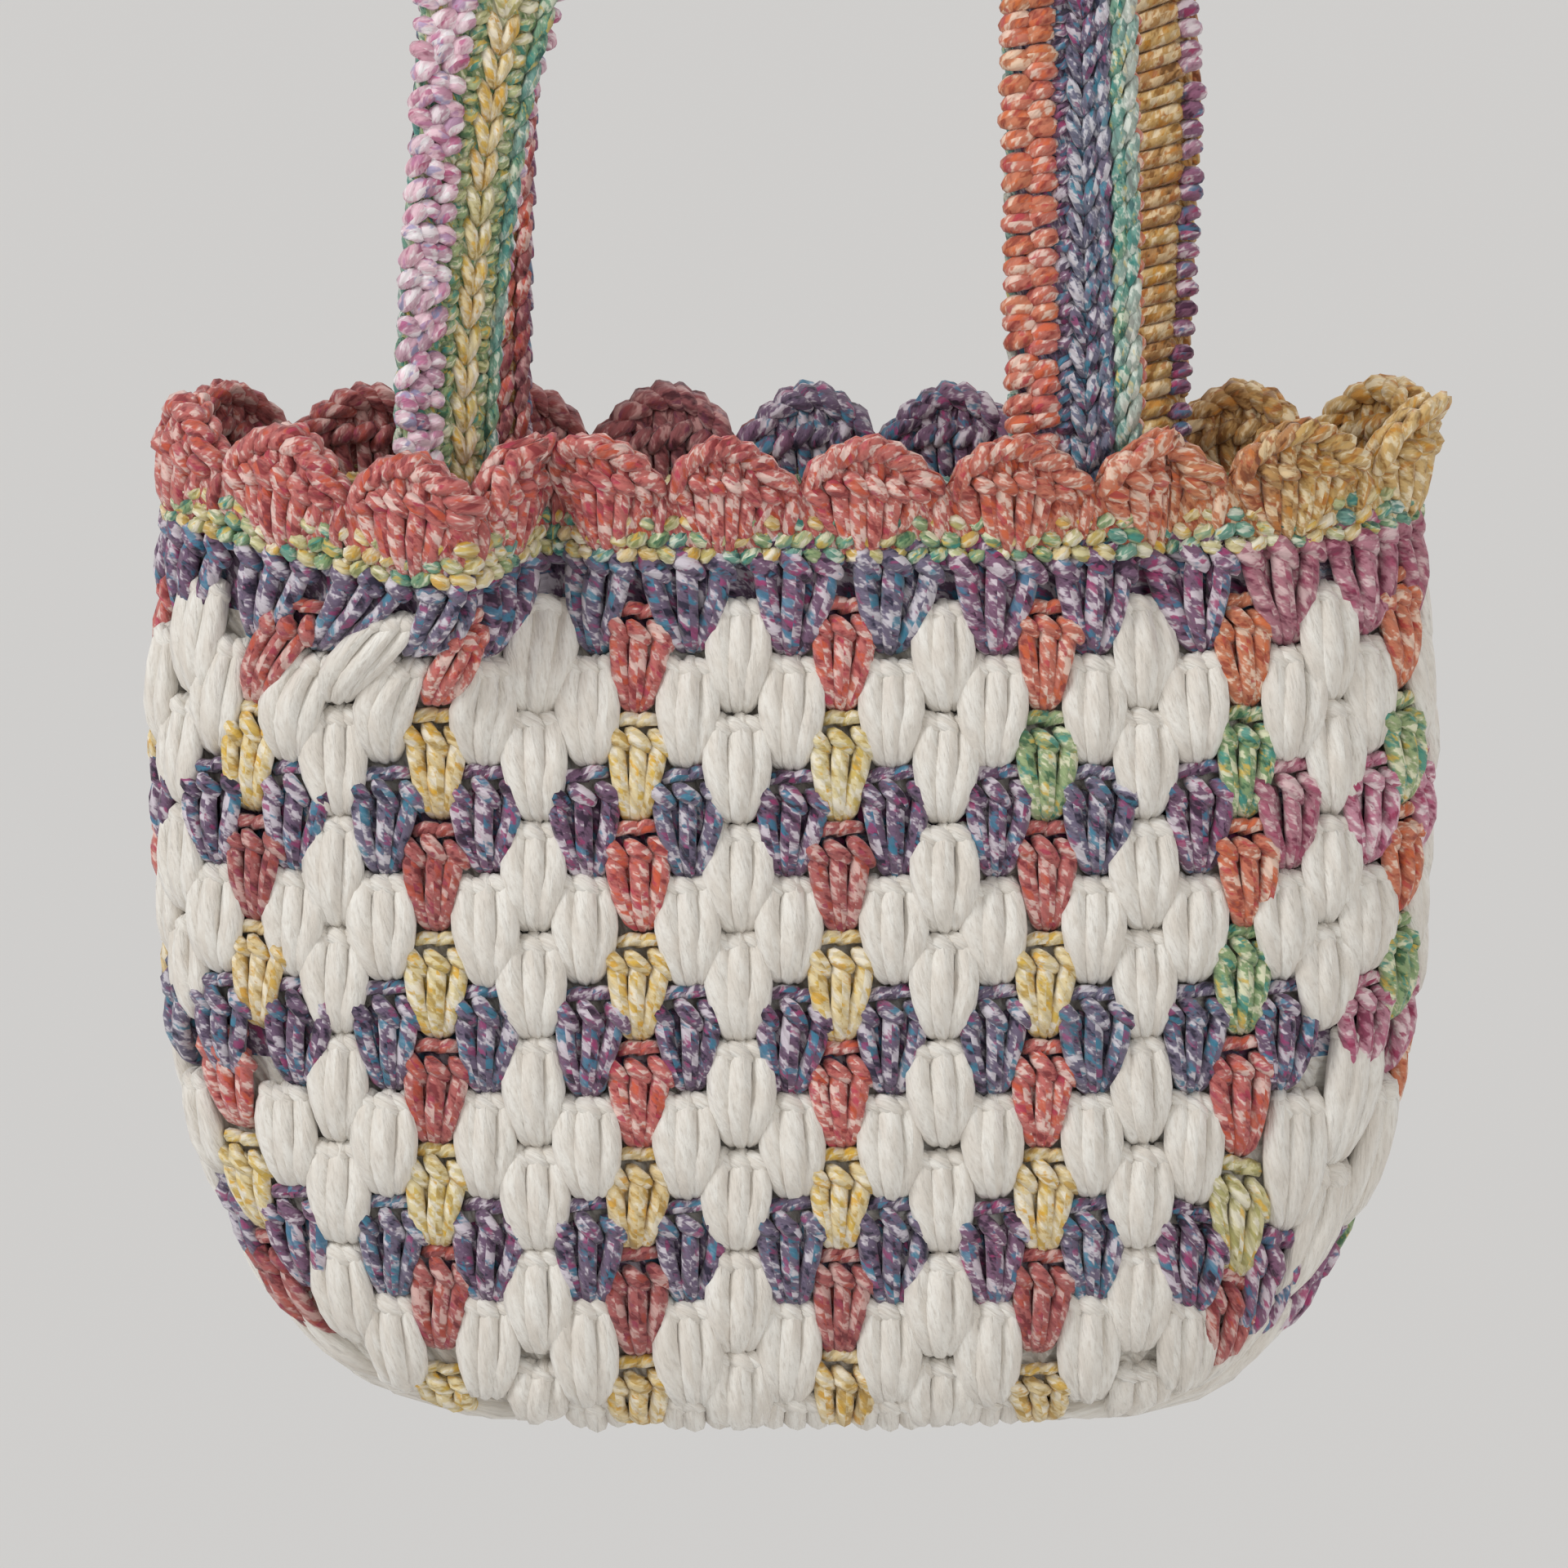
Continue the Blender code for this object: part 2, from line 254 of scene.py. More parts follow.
class FaceMap:
    """Angles of places on one broad face, counted level from its middle line."""

    REACH = 0.16
    LOW = -0.14
    HIGH = 1.12
    COLUMNS = 320
    ROWS = 63

    def __init__(self, back):
        places = np.linspace(-self.REACH, self.REACH, self.COLUMNS + 1)
        rows = []
        for height in np.linspace(self.LOW, self.HIGH, self.ROWS + 1):
            outline = Outline(height)
            middle = outline.right_half if back else 0.0
            angle = outline.angle(places + middle)
            rows.append(np.unwrap(angle, period=FULL_TURN))
        self.angles = np.array(rows)
        centre = 0.5 * math.pi if back else -0.5 * math.pi
        drift = np.round((self.angles[:, self.COLUMNS // 2] - centre) / FULL_TURN)
        self.angles -= FULL_TURN * drift[:, None]

    def angle(self, place, height):
        """The angle at places and heights, read between the nearest known ones."""
        across = (np.clip(place, -self.REACH, self.REACH) + self.REACH) / (2.0 * self.REACH)
        rise = (np.clip(height, self.LOW, self.HIGH) - self.LOW) / (self.HIGH - self.LOW)
        column = across * self.COLUMNS
        row = rise * self.ROWS
        i = np.clip(np.floor(row).astype(int), 0, self.ROWS - 1)
        j = np.clip(np.floor(column).astype(int), 0, self.COLUMNS - 1)
        a = row - i
        b = column - j
        low = self.angles[i, j] * (1.0 - b) + self.angles[i, j + 1] * b
        high = self.angles[i + 1, j] * (1.0 - b) + self.angles[i + 1, j + 1] * b
        return low * (1.0 - a) + high * a


def off_wall(angle, height, out):
    """Points off the wall's outer face along its normal, at angles and heights."""
    turn = 0.012
    rise = 0.016
    place = wall_place(angle, height, 0.0)
    right = wall_place(angle + turn, height, 0.0) - wall_place(angle - turn, height, 0.0)
    up = wall_place(angle, height + rise, 0.0) - wall_place(angle, height - rise, 0.0)
    normal = np.cross(right, up)
    normal /= np.linalg.norm(normal, axis=-1)[..., None] + TINY
    return place + normal * out[..., None]


def rise_rate(angle, height):
    """How far the wall runs up its face for a whole share of height, in metres."""
    rise = 0.012
    step = wall_place(angle, height + rise, 0.0) - wall_place(angle, height - rise, 0.0)
    return np.linalg.norm(step, axis=-1) / (2.0 * rise)


class Outline:
    """The wall's line at one height, measured along its length from the middle front."""

    FINE = 2880

    def __init__(self, height, inset=0.0):
        self.angles = np.linspace(-0.5 * math.pi, 1.5 * math.pi, self.FINE + 1)
        points = wall_place(self.angles, np.full(self.FINE + 1, height), inset)
        steps = np.linalg.norm(np.diff(points[:, :2], axis=0), axis=1)
        self.along = np.concatenate(([0.0], np.cumsum(steps)))
        self.length = self.along[-1]
        self.right_half = float(np.interp(0.5 * math.pi, self.angles, self.along))
        self.left_half = self.length - self.right_half

    def signed(self, distance):
        """The same distance, counted as a negative one in the left half."""
        return distance - self.length * (distance > 0.5 * self.length)

    def angle(self, distance):
        """The angle at a distance to the right of the middle of the front."""
        return np.interp(np.mod(distance, self.length), self.along, self.angles)


class Tubes:
    """Strands of one stitch: their points, faces, places along the yarn and middles across."""

    def __init__(self):
        self.points = []
        self.corners = []
        self.sizes = []
        self.yarn = []
        self.middle = []
        self.count = 0

    def strand(self, path, radius, sides=8, steps=8, lobes=0, twist=0.0):
        """Adds one strand through a few points in millimetres, with rounded ends."""
        fine = between(path, 4)
        along = np.concatenate(([0.0], np.cumsum(np.linalg.norm(np.diff(fine, axis=0), axis=1))))
        wanted = along[-1] * 0.5 * (1.0 - np.cos(np.linspace(0.0, math.pi, steps)))
        wanted = 0.45 * wanted + 0.55 * np.linspace(0.0, along[-1], steps)
        spine = np.column_stack([np.interp(wanted, along, fine[:, i]) for i in range(3)])
        tangent = np.gradient(spine, axis=0)
        tangent /= np.linalg.norm(tangent, axis=1)[:, None]
        hint = np.array((0.13, 0.21, 0.97))
        normal = hint - tangent * (tangent @ hint)[:, None]
        normal /= np.linalg.norm(normal, axis=1)[:, None]
        side = np.cross(tangent, normal)
        share = np.linspace(0.0, 1.0, steps)
        if np.ndim(radius):
            girth = np.interp(share, np.linspace(0.0, 1.0, len(radius)), radius)
        else:
            girth = radius * (0.55 + 0.45 * np.sin(math.pi * share) ** 0.5)
        turn = FULL_TURN * np.arange(sides) / sides
        ripple = np.ones((steps, sides))
        if lobes:
            phase = lobes * turn[None, :] + twist * wanted[:, None]
            ripple = 1.0 + PLY_RELIEF * np.cos(phase)
        reach = girth[:, None] * ripple
        ring = spine[:, None, :] + (reach * np.cos(turn))[..., None] * normal[:, None, :]
        ring = ring + (reach * np.sin(turn))[..., None] * side[:, None, :]
        start = self.count
        self.points.append(ring.reshape(-1, 3))
        tips = np.vstack((spine[0] - tangent[0] * girth[0] * 0.5, spine[-1] + tangent[-1] * girth[-1] * 0.5))
        self.points.append(tips)
        grid = start + np.arange(steps * sides).reshape(steps, sides)
        self.corners.append((start + grid_faces(steps, sides)).reshape(-1))
        self.sizes.append(np.full((steps - 1) * sides, 4))
        offset = chance.uniform(0.0, YARN_LENGTH)
        roll = chance.uniform(0.0, 1.0)
        u = wanted + offset
        v = roll + np.arange(sides + 1) / sides
        quad_u = np.stack((u[:-1], u[:-1], u[1:], u[1:]), axis=-1)[:, None].repeat(sides, axis=1)
        quad_v = np.stack((v[:-1], v[1:], v[1:], v[:-1]), axis=-1)[None].repeat(steps - 1, axis=0)
        self.yarn.append(np.stack((quad_u, quad_v), axis=-1).reshape(-1, 2))
        middle = spine[:, 0].mean() + TONE_STRAY * (offset - 0.5 * YARN_LENGTH)
        self.middle.append(np.full(steps * sides + 2, middle))
        first = start + steps * sides
        for tip, row, back in ((first, grid[0], True), (first + 1, grid[-1], False)):
            after = np.roll(row, -1)
            hub = np.full(sides, tip)
            order = (hub, after, row) if back else (hub, row, after)
            self.corners.append(np.stack(order, axis=-1).reshape(-1))
            self.sizes.append(np.full(sides, 3))
            end = u[0] if back else u[-1]
            cap_u = np.full((sides, 3), end)
            cap_v = np.stack((v[:-1], v[1:], v[:-1]), axis=-1)
            self.yarn.append(np.stack((cap_u, cap_v), axis=-1).reshape(-1, 2))
        self.count += steps * sides + 2

    def finish(self):
        """Joins the strands into plain arrays, with the points in metres."""
        self.points = np.vstack(self.points) * MM
        self.corners = np.concatenate(self.corners)
        self.sizes = np.concatenate(self.sizes)
        self.yarn = np.vstack(self.yarn)
        self.middle = np.concatenate(self.middle) * MM
        return self


class Fabric:
    """Collects many placed stitches and makes one mesh piece of them."""

    def __init__(self, name):
        self.name = name
        self.points = []
        self.corners = []
        self.sizes = []
        self.yarn = []
        self.run = []
        self.count = 0

    def add(self, stitch, points, run):
        """Adds copies of a stitch whose points are already placed, as (copies, points, 3)."""
        copies = len(points)
        number = points.shape[1]
        starts = self.count + number * np.arange(copies)
        self.points.append(points.reshape(-1, 3))
        self.corners.append((stitch.corners[None, :] + starts[:, None]).reshape(-1))
        self.sizes.append(np.tile(stitch.sizes, copies))
        shift = np.stack((chance.uniform(0.0, 900.0, copies), chance.uniform(0.0, 1.0, copies)), axis=-1)
        self.yarn.append((stitch.yarn[None] + shift[:, None, :]).reshape(-1, 2))
        run = np.asarray(run, dtype=float)
        if run.ndim == 1:
            run = np.repeat(run[:, None], number, axis=1)
        self.run.append(run.reshape(-1))
        self.count += number * copies

    def build(self, material, slot):
        """Makes the mesh object, shaded smooth, and lets it ride on the bag."""
        mesh = bpy.data.meshes.new(self.name)
        points = np.vstack(self.points).astype(np.float32)
        corners = np.concatenate(self.corners).astype(np.int32)
        sizes = np.concatenate(self.sizes).astype(np.int32)
        starts = np.concatenate(([0], np.cumsum(sizes)[:-1])).astype(np.int32)
        mesh.vertices.add(len(points))
        mesh.vertices.foreach_set("co", points.ravel())
        mesh.loops.add(len(corners))
        mesh.loops.foreach_set("vertex_index", corners)
        mesh.polygons.add(len(sizes))
        mesh.polygons.foreach_set("loop_start", starts)
        mesh.update(calc_edges=True)
        layer = mesh.uv_layers.new(name="yarn")
        layer.uv.foreach_set("vector", np.vstack(self.yarn).astype(np.float32).ravel())
        tone = mesh.attributes.new("run", "FLOAT", "POINT")
        tone.data.foreach_set("value", np.concatenate(self.run).astype(np.float32))
        mesh.shade_smooth()
        mesh.materials.append(material)
        piece = bpy.data.objects.new(self.name, mesh)
        bpy.context.scene.collection.objects.link(piece)
        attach(piece, "root")
        return piece


# Yarn colours in daylight, in steps of 255: where each lies along the run of colours,
# then its deep, main and pale tones and two kinds of fleck; the darker rose at 0.35 and the
# darker gold at 0.56 are painted shade
Tone = namedtuple("Tone", "place deep main pale fleck spark")
TONES = (
    Tone(0.00, (52, 58, 82), (116, 126, 146), (206, 208, 214), (58, 132, 152), (128, 88, 122)),
    Tone(0.10, (44, 34, 54), (112, 88, 114), (208, 198, 208), (62, 130, 160), (160, 60, 112)),
    Tone(0.20, (92, 46, 74), (160, 104, 132), (222, 204, 210), (84, 112, 146), (176, 58, 104)),
    Tone(0.25, (208, 156, 178), (246, 220, 228), (252, 248, 250), (178, 168, 206), (206, 124, 166)),
    Tone(0.30, (150, 70, 98), (204, 146, 164), (238, 216, 220), (196, 104, 138), (168, 52, 92)),
    # A darker, dusty rose: painted shade, for the trim's left side behind
    Tone(0.35, (84, 40, 46), (140, 80, 82), (186, 136, 132), (128, 58, 62), (110, 52, 74)),
    Tone(0.40, (152, 62, 64), (202, 114, 108), (238, 204, 194), (210, 92, 60), (190, 64, 88)),
    Tone(0.50, (164, 78, 56), (206, 128, 94), (238, 206, 182), (216, 114, 66), (190, 76, 66)),
    # A darker gold: painted shade, for the back strap and the trim's right side behind
    Tone(0.56, (116, 78, 40), (182, 136, 86), (226, 198, 154), (190, 124, 54), (168, 98, 50)),
    Tone(0.60, (150, 104, 46), (204, 166, 102), (236, 216, 176), (204, 140, 50), (178, 108, 46)),
    Tone(0.70, (200, 166, 92), (232, 214, 168), (242, 233, 212), (222, 184, 74), (228, 176, 52)),
    Tone(0.78, (108, 136, 92), (190, 196, 146), (236, 232, 204), (96, 160, 140), (224, 188, 84)),
    Tone(0.84, (64, 106, 76), (136, 164, 118), (222, 224, 190), (58, 148, 138), (216, 184, 84)),
    Tone(0.90, (48, 102, 102), (108, 160, 148), (208, 222, 210), (50, 132, 124), (204, 190, 110)),
    Tone(1.00, (190, 182, 170), (218, 212, 202), (236, 233, 226), (210, 203, 192), (222, 216, 206)),
)
# The colour of the painted shade in the grooves between the plies
GROOVE_SHADE = (0.05, 0.03, 0.03, 1.0)


def linear(colour):
    """Colour steps of 255 as the linear values that shaders take."""
    shares = np.array(colour) / 255.0
    low = shares / 12.92
    high = ((shares + 0.055) / 1.055) ** 2.4
    return tuple(np.where(shares <= 0.04045, low, high).tolist()) + (1.0,)


class Nodes:
    """Short ways to add and link a material's nodes."""

    def __init__(self, name):
        self.material = bpy.data.materials.new(name)
        self.material.use_nodes = True
        self.tree = self.material.node_tree
        self.shader = self.tree.nodes["Principled BSDF"]

    def set(self, socket, value):
        """Links a node's output, or sets a plain value."""
        if isinstance(value, bpy.types.NodeSocket):
            self.tree.links.new(value, socket)
        else:
            socket.default_value = value

    def maths(self, operation, a, b=0.0, c=0.0):
        """One sum of up to three values."""
        node = self.tree.nodes.new("ShaderNodeMath")
        node.operation = operation
        for socket, value in zip(node.inputs, (a, b, c)):
            self.set(socket, value)
        return node.outputs[0]

    def vector(self, x, y, z):
        """A place made of three values."""
        node = self.tree.nodes.new("ShaderNodeCombineXYZ")
        for socket, value in zip(node.inputs, (x, y, z)):
            self.set(socket, value)
        return node.outputs[0]

    def noise(self, vector, scale, detail=2.0, rough=0.5):
        """Smooth noise at a place."""
        node = self.tree.nodes.new("ShaderNodeTexNoise")
        self.set(node.inputs["Vector"], vector)
        node.inputs["Scale"].default_value = scale
        node.inputs["Detail"].default_value = detail
        node.inputs["Roughness"].default_value = rough
        return node.outputs["Fac"]

    def ramp(self, factor, stops):
        """A colour read from places along a run of colours."""
        node = self.tree.nodes.new("ShaderNodeValToRGB")
        elements = node.color_ramp.elements
        while len(elements) < len(stops):
            elements.new(0.5)
        for element, (place, colour) in zip(elements, stops):
            element.position = place
        for element, (place, colour) in zip(elements, stops):
            element.color = colour
        self.set(node.inputs[0], factor)
        return node.outputs[0]

    def mix(self, factor, a, b):
        """Colour a where the factor is 0, and colour b where it is 1."""
        node = self.tree.nodes.new("ShaderNodeMix")
        node.data_type = "RGBA"
        self.set(node.inputs[0], factor)
        self.set(node.inputs[6], a)
        self.set(node.inputs[7], b)
        return node.outputs[2]

    def share(self, value, low, high):
        """0 where value is below low, 1 above high, smooth between."""
        node = self.tree.nodes.new("ShaderNodeMapRange")
        node.interpolation_type = "SMOOTHSTEP"
        self.set(node.inputs["Value"], value)
        node.inputs["From Min"].default_value = low
        node.inputs["From Max"].default_value = high
        return node.outputs["Result"]

    def strand_places(self, plies, lead):
        """Places in millimetres along and across the plies, and the ply stripe."""
        uv = self.tree.nodes.new("ShaderNodeUVMap")
        uv.uv_map = "yarn"
        split = self.tree.nodes.new("ShaderNodeSeparateXYZ")
        self.set(split.inputs[0], uv.outputs[0])
        along = split.outputs[0]
        turns = self.maths("MULTIPLY_ADD", along, 1.0 / lead, split.outputs[1])
        ply = self.maths("MULTIPLY", turns, plies)
        wave = self.maths("SINE", self.maths("MULTIPLY", ply, FULL_TURN))
        return along, ply, wave

    def patches(self, along, ply, stretch, start, detail=3.0, rough=0.6):
        """Noise along and across the plies, at its own stretch of both and its own start."""
        place = self.vector(
            self.maths("MULTIPLY", along, stretch[0]), self.maths("MULTIPLY", ply, stretch[1]), start
        )
        return self.noise(place, 1.0, detail, rough)

    def finish(self, height, relief, strength, sheen, softness, gloss):
        """Sets the shader's bump from a height, and its sheen and gloss, and gives the material."""
        node = self.tree.nodes.new("ShaderNodeBump")
        node.inputs["Distance"].default_value = relief
        node.inputs["Strength"].default_value = strength
        self.set(node.inputs["Height"], height)
        self.set(self.shader.inputs["Normal"], node.outputs[0])
        self.shader.inputs["Sheen Weight"].default_value = sheen
        self.shader.inputs["Sheen Roughness"].default_value = softness
        self.shader.inputs["Specular IOR Level"].default_value = gloss
        return self.material


def speckled_yarn():
    """Coloured yarn: twisted plies with flecks of five tones along the run of colours."""
    n = Nodes("speckled_yarn")
    along, ply, wave = n.strand_places(plies=3.0, lead=15.0)
    attribute = n.tree.nodes.new("ShaderNodeAttribute")
    attribute.attribute_name = "run"
    run = attribute.outputs["Fac"]
    tones = []
    for kind in ("deep", "main", "pale", "fleck", "spark"):
        stops = [(tone.place, linear(getattr(tone, kind))) for tone in TONES]
        tones.append(n.ramp(run, stops))
    deep, main, pale, fleck, spark = tones
    patches = n.patches(along, ply, (0.27, 0.95), 0.0, rough=0.62)
    drift = n.noise(n.vector(n.maths("MULTIPLY", along, 0.06), 3.0, 1.0), 1.0, 1.0)
    level = n.maths("ADD", patches, n.maths("MULTIPLY_ADD", drift, 0.42, -0.21))
    colour = n.mix(n.share(level, 0.35, 0.46), deep, main)
    colour = n.mix(n.share(level, 0.50, 0.59), colour, pale)
    for stretch, start, low, tone in (((0.24, 0.8), 7.3, 0.55, fleck), ((0.26, 0.9), 19.1, 0.57, spark)):
        spots = n.share(n.patches(along, ply, stretch, start), low, low + 0.08)
        colour = n.mix(n.maths("MULTIPLY", spots, 0.85), colour, tone)
    # Painted shade: the colour darkens in the grooves between the plies
    groove = n.share(wave, -1.0, -0.45)
    colour = n.mix(n.maths("MULTIPLY_ADD", groove, -0.20, 0.20), colour, GROOVE_SHADE)
    n.set(n.shader.inputs["Base Color"], colour)
    fibre_place = n.vector(n.maths("MULTIPLY", along, 0.7), n.maths("MULTIPLY", ply, 6.0), 0.0)
    fibres = n.noise(fibre_place, 1.6, 3.0, 0.6)
    n.set(n.shader.inputs["Roughness"], n.maths("MULTIPLY_ADD", fibres, 0.22, 0.60))
    height = n.maths("MULTIPLY_ADD", wave, 0.5, n.maths("MULTIPLY", fibres, 0.6))
    return n.finish(height, relief=0.00055, strength=0.9, sheen=0.25, softness=0.45, gloss=0.28)


def white_yarn():
    """Soft off-white yarn with faint grooves and fine fibres along it."""
    n = Nodes("white_yarn")
    along, ply, wave = n.strand_places(plies=4.0, lead=60.0)
    fibre_place = n.vector(n.maths("MULTIPLY", along, 0.22), n.maths("MULTIPLY", ply, 3.4), 0.0)
    fibres = n.noise(fibre_place, 1.6, 3.0, 0.62)
    clouds = n.noise(n.vector(n.maths("MULTIPLY", along, 0.10), ply, 2.0), 1.0, 2.0)
    tint = n.mix(n.share(clouds, 0.3, 0.7), linear((220, 213, 203)), linear((234, 231, 224)))
    shade = n.mix(n.share(fibres, 0.22, 0.55), linear((206, 199, 189)), tint)
    n.set(n.shader.inputs["Base Color"], shade)
    n.set(n.shader.inputs["Roughness"], n.maths("MULTIPLY_ADD", fibres, 0.2, 0.66))
    height = n.maths("MULTIPLY_ADD", wave, 0.30, n.maths("MULTIPLY", fibres, 0.9))
    return n.finish(height, relief=0.0007, strength=0.8, sheen=0.35, softness=0.5, gloss=0.22)


def cluster(radius, tip, top, length, rise, knob, link):
    """One group of three trebles: posts that meet below, slanted wraps and a top chain."""
    made = Tubes()
    for i in (-1, 0, 1):
        wide = top * (1.0 + loose(0.06))
        lean = loose(0.5)
        depth = rise - 0.5 * abs(i) + loose(0.15)
        path = [
            (i * tip, 0.3 * abs(i), -1.0),
            (i * (tip + 0.26 * (wide - tip)) + 0.4 * lean, 0.12 * length, 0.66 * depth),
            (i * (tip + 0.62 * (wide - tip)) + lean, 0.34 * length, depth + 0.4),
            (i * (tip + 0.88 * (wide - tip)) + lean, 0.54 * length, depth + 0.3),
            (i * 1.02 * wide + 0.5 * lean, 0.77 * length, 0.6 * depth),
        ]
        girth = radius * np.array((0.66, 0.92, 1.02, 1.0, 0.82)) * (1.0 + loose(0.06))
        made.strand(path, girth, sides=9, steps=9, lobes=3, twist=0.5)
        x = i * 0.98 * wide + 0.3 + loose(0.4)
        y = (0.765 - 0.014 * abs(i)) * length + loose(0.6)
        slant = 1.05 + loose(0.35)
        wrap = [
            (x - 1.3 * knob, y + 1.7 * slant, depth - 2.2),
            (x - 0.6 * knob, y + 1.2 * slant, depth + 0.3),
            (x + 0.4 * knob, y - 0.7 * slant, depth + 0.5),
            (x + 1.2 * knob, y - 2.7 * slant, depth - 1.2),
        ]
        made.strand(wrap, knob * np.array((0.75, 1.05, 1.0, 0.7)), sides=8, steps=6, lobes=3, twist=0.5)
    for i in (-1, 1):
        x = i * 0.44 * top + loose(0.4)
        y = 0.93 * length + loose(0.4)
        reach = 0.50 * top
        chain = [
            (x - 1.15 * reach, y - 1.2, -0.2),
            (x - 0.4 * reach, y + 0.3, 0.64 * rise),
            (x + 0.5 * reach, y + 0.7, 0.70 * rise),
            (x + 1.2 * reach, y - 0.4, 0.2),
        ]
        made.strand(chain, link * np.array((0.75, 1.0, 1.0, 0.75)), sides=7, steps=5)
    fill_middle(made, 0.8 * tip, 0.56 * top, length, 0.22 * rise, 0.95 * radius)
    return made.finish()


def fill_middle(made, tip, top, length, rise, radius):
    """Two plain strands behind the gaps between three posts."""
    for side in (-1, 1):
        path = [
            (side * tip, 1.5, -1.6),
            (side * 0.8 * top, 0.35 * length, rise),
            (side * top, 0.74 * length, 0.3 * rise),
        ]
        made.strand(path, radius * np.array((0.6, 1.0, 0.9)), sides=6, steps=4)


def soft_cluster(radius, tip, top, length, rise):
    """One group of thick soft trebles, whose wraps and chain nearly sink into the wool."""
    made = Tubes()
    for i in (-1, 0, 1):
        wide = top * (1.0 + loose(0.08))
        lean = loose(0.6)
        depth = rise - 0.55 * abs(i) + loose(0.5)
        path = [
            (i * tip, 0.4 * abs(i), -1.4),
            (i * (tip + 0.26 * (wide - tip)) + 0.4 * lean, 0.12 * length, 0.60 * depth),
            (i * (tip + 0.66 * (wide - tip)) + lean, 0.33 * length, depth),
            (i * wide + lean, 0.58 * length, depth),
            (i * 0.94 * wide + 0.5 * lean, 0.82 * length, 0.72 * depth),
            (i * 0.86 * wide, 0.93 * length, 0.0),
        ]
        girth = radius * np.array((0.52, 0.84, 1.06, 1.04, 0.92, 0.66)) * (1.0 + loose(0.08))
        made.strand(path, girth, sides=9, steps=10, lobes=3, twist=0.25)
        x = i * 0.82 * wide + loose(0.5)
        y = 0.86 * length + loose(0.5)
        wrap = [
            (x - 2.4, y + 1.0, depth - 3.0),
            (x - 1.1, y + 0.9, depth - 0.9),
            (x + 0.9, y - 0.5, depth - 0.7),
            (x + 2.3, y - 1.8, depth - 2.6),
        ]
        made.strand(wrap, np.array((1.7, 2.2, 2.2, 1.6)) * (1.0 + loose(0.08)), sides=8, steps=6)
    fill_middle(made, 0.8 * tip, 0.62 * top, length, 0.30 * rise, 0.92 * radius)
    return made.finish()


def row_places(outline, shifted):
    """Where a row's clusters go round the wall, as distances, with their column numbers."""
    span = min(FRONT_SPAN, 0.235 * outline.length)
    first = math.ceil((-span - PATTERN_START) / STITCH_PITCH)
    last = math.floor((span - PATTERN_START) / STITCH_PITCH)
    places = []
    for column in range(first, last + (0 if shifted else 1)):
        distance = PATTERN_START + STITCH_PITCH * (column + (0.5 if shifted else 0.0))
        places.append((distance, column))
        places.append((outline.right_half - distance, column))
    for sign, half, end in ((1, outline.right_half, last), (-1, outline.left_half, first)):
        edge = abs(PATTERN_START + STITCH_PITCH * end)
        gap = half - 2.0 * edge
        number = 2 * max(1, round(gap / (2.0 * STITCH_PITCH)))
        for i in range(0 if shifted else 1, number):
            share = (i + 0.5) / number if shifted else i / number
            places.append((sign * (edge + gap * share), end + sign * i))
    return places


def row_dip(distance, height):
    """How far the lower rows sink near the right-hand corner, as a share of height."""
    side = smoothstep((distance - 0.082) / 0.045) * (1.0 - smoothstep((distance - 0.150) / 0.05))
    return DIP_DEPTH / BODY_HEIGHT * side * smoothstep((0.46 - height) / 0.26)


def bend_on_wall(stitch, outline, distances, height, lengths, inset):
    """Copies of a cluster bent to the wall: its places are along, up and outwards."""
    count = len(distances)
    turn = chance.uniform(-STITCH_TURN, STITCH_TURN, count)[:, None]
    middle = 0.5 * (stitch.points[:, 1].max() + stitch.points[:, 1].min())
    x = stitch.points[None, :, 0]
    y = (stitch.points[None, :, 1] - middle) * lengths[:, None]
    shift = chance.uniform(-STITCH_STRAY, STITCH_STRAY, (3, count))
    along = x * np.cos(turn) - y * np.sin(turn) + shift[0][:, None] + distances[:, None]
    up = x * np.sin(turn) + y * np.cos(turn) + shift[1][:, None]
    out = np.broadcast_to(stitch.points[None, :, 2], along.shape) + shift[2][:, None]
    signed = outline.signed(distances)
    centre = outline.angle(distances)
    rate = rise_rate(centre, np.full(count, height))
    stretch = np.clip(rate / BODY_HEIGHT, 1.0, 1.3)
    place = signed[:, None] + along - distances[:, None]
    level = height + up * (stretch / rate)[:, None]
    level = level - row_dip(place, level)
    around = np.unwrap(outline.angle(along), axis=1, period=FULL_TURN)
    half = np.where(place > 0.0, outline.right_half, outline.left_half)
    from_back = place - np.sign(place) * half
    at_front = np.abs(signed)[:, None] < 0.25 * outline.length
    upright = np.where(at_front, FRONT_FACE.angle(place, level), BACK_FACE.angle(from_back, level))
    upright = upright + FULL_TURN * np.round((around - upright) / FULL_TURN)
    nearest = np.where(at_front, np.abs(signed)[:, None], outline.length * 0.5 - np.abs(signed)[:, None])
    side = smoothstep((nearest / outline.length - SIDE_START) / SIDE_SPAN)
    angle = upright * (1.0 - side) + around * side
    return off_wall(angle, level, out - inset)


# Tones of the coloured rows: the tone in the middle, how far it changes to the right, where
# that starts in the four rows of a kind, over what distance, and how far single clusters stray
Shade = namedtuple("Shade", "tone gain starts span darker paler")
ROW_SHADES = {
    "plum": Shade(0.10, 0.20, (0.094, 0.094, 0.112, 0.108), 0.012, 0.045, 0.035),
    "coral": Shade(0.388, 0.10, (0.045, 0.085, 0.135, 0.2), 0.03, 0.02, 0.02),
    "yellow": Shade(0.69, 0.13, (0.0, 0.05, 0.085, 0.08), 0.05, 0.03, 0.02),
}
ROW_KINDS = ("plum", "coral", "white", "yellow")
LAST_PLUM_ROW = 12
LAST_PLUM_GAIN = 0.08
WHITE_TONE = 1.0


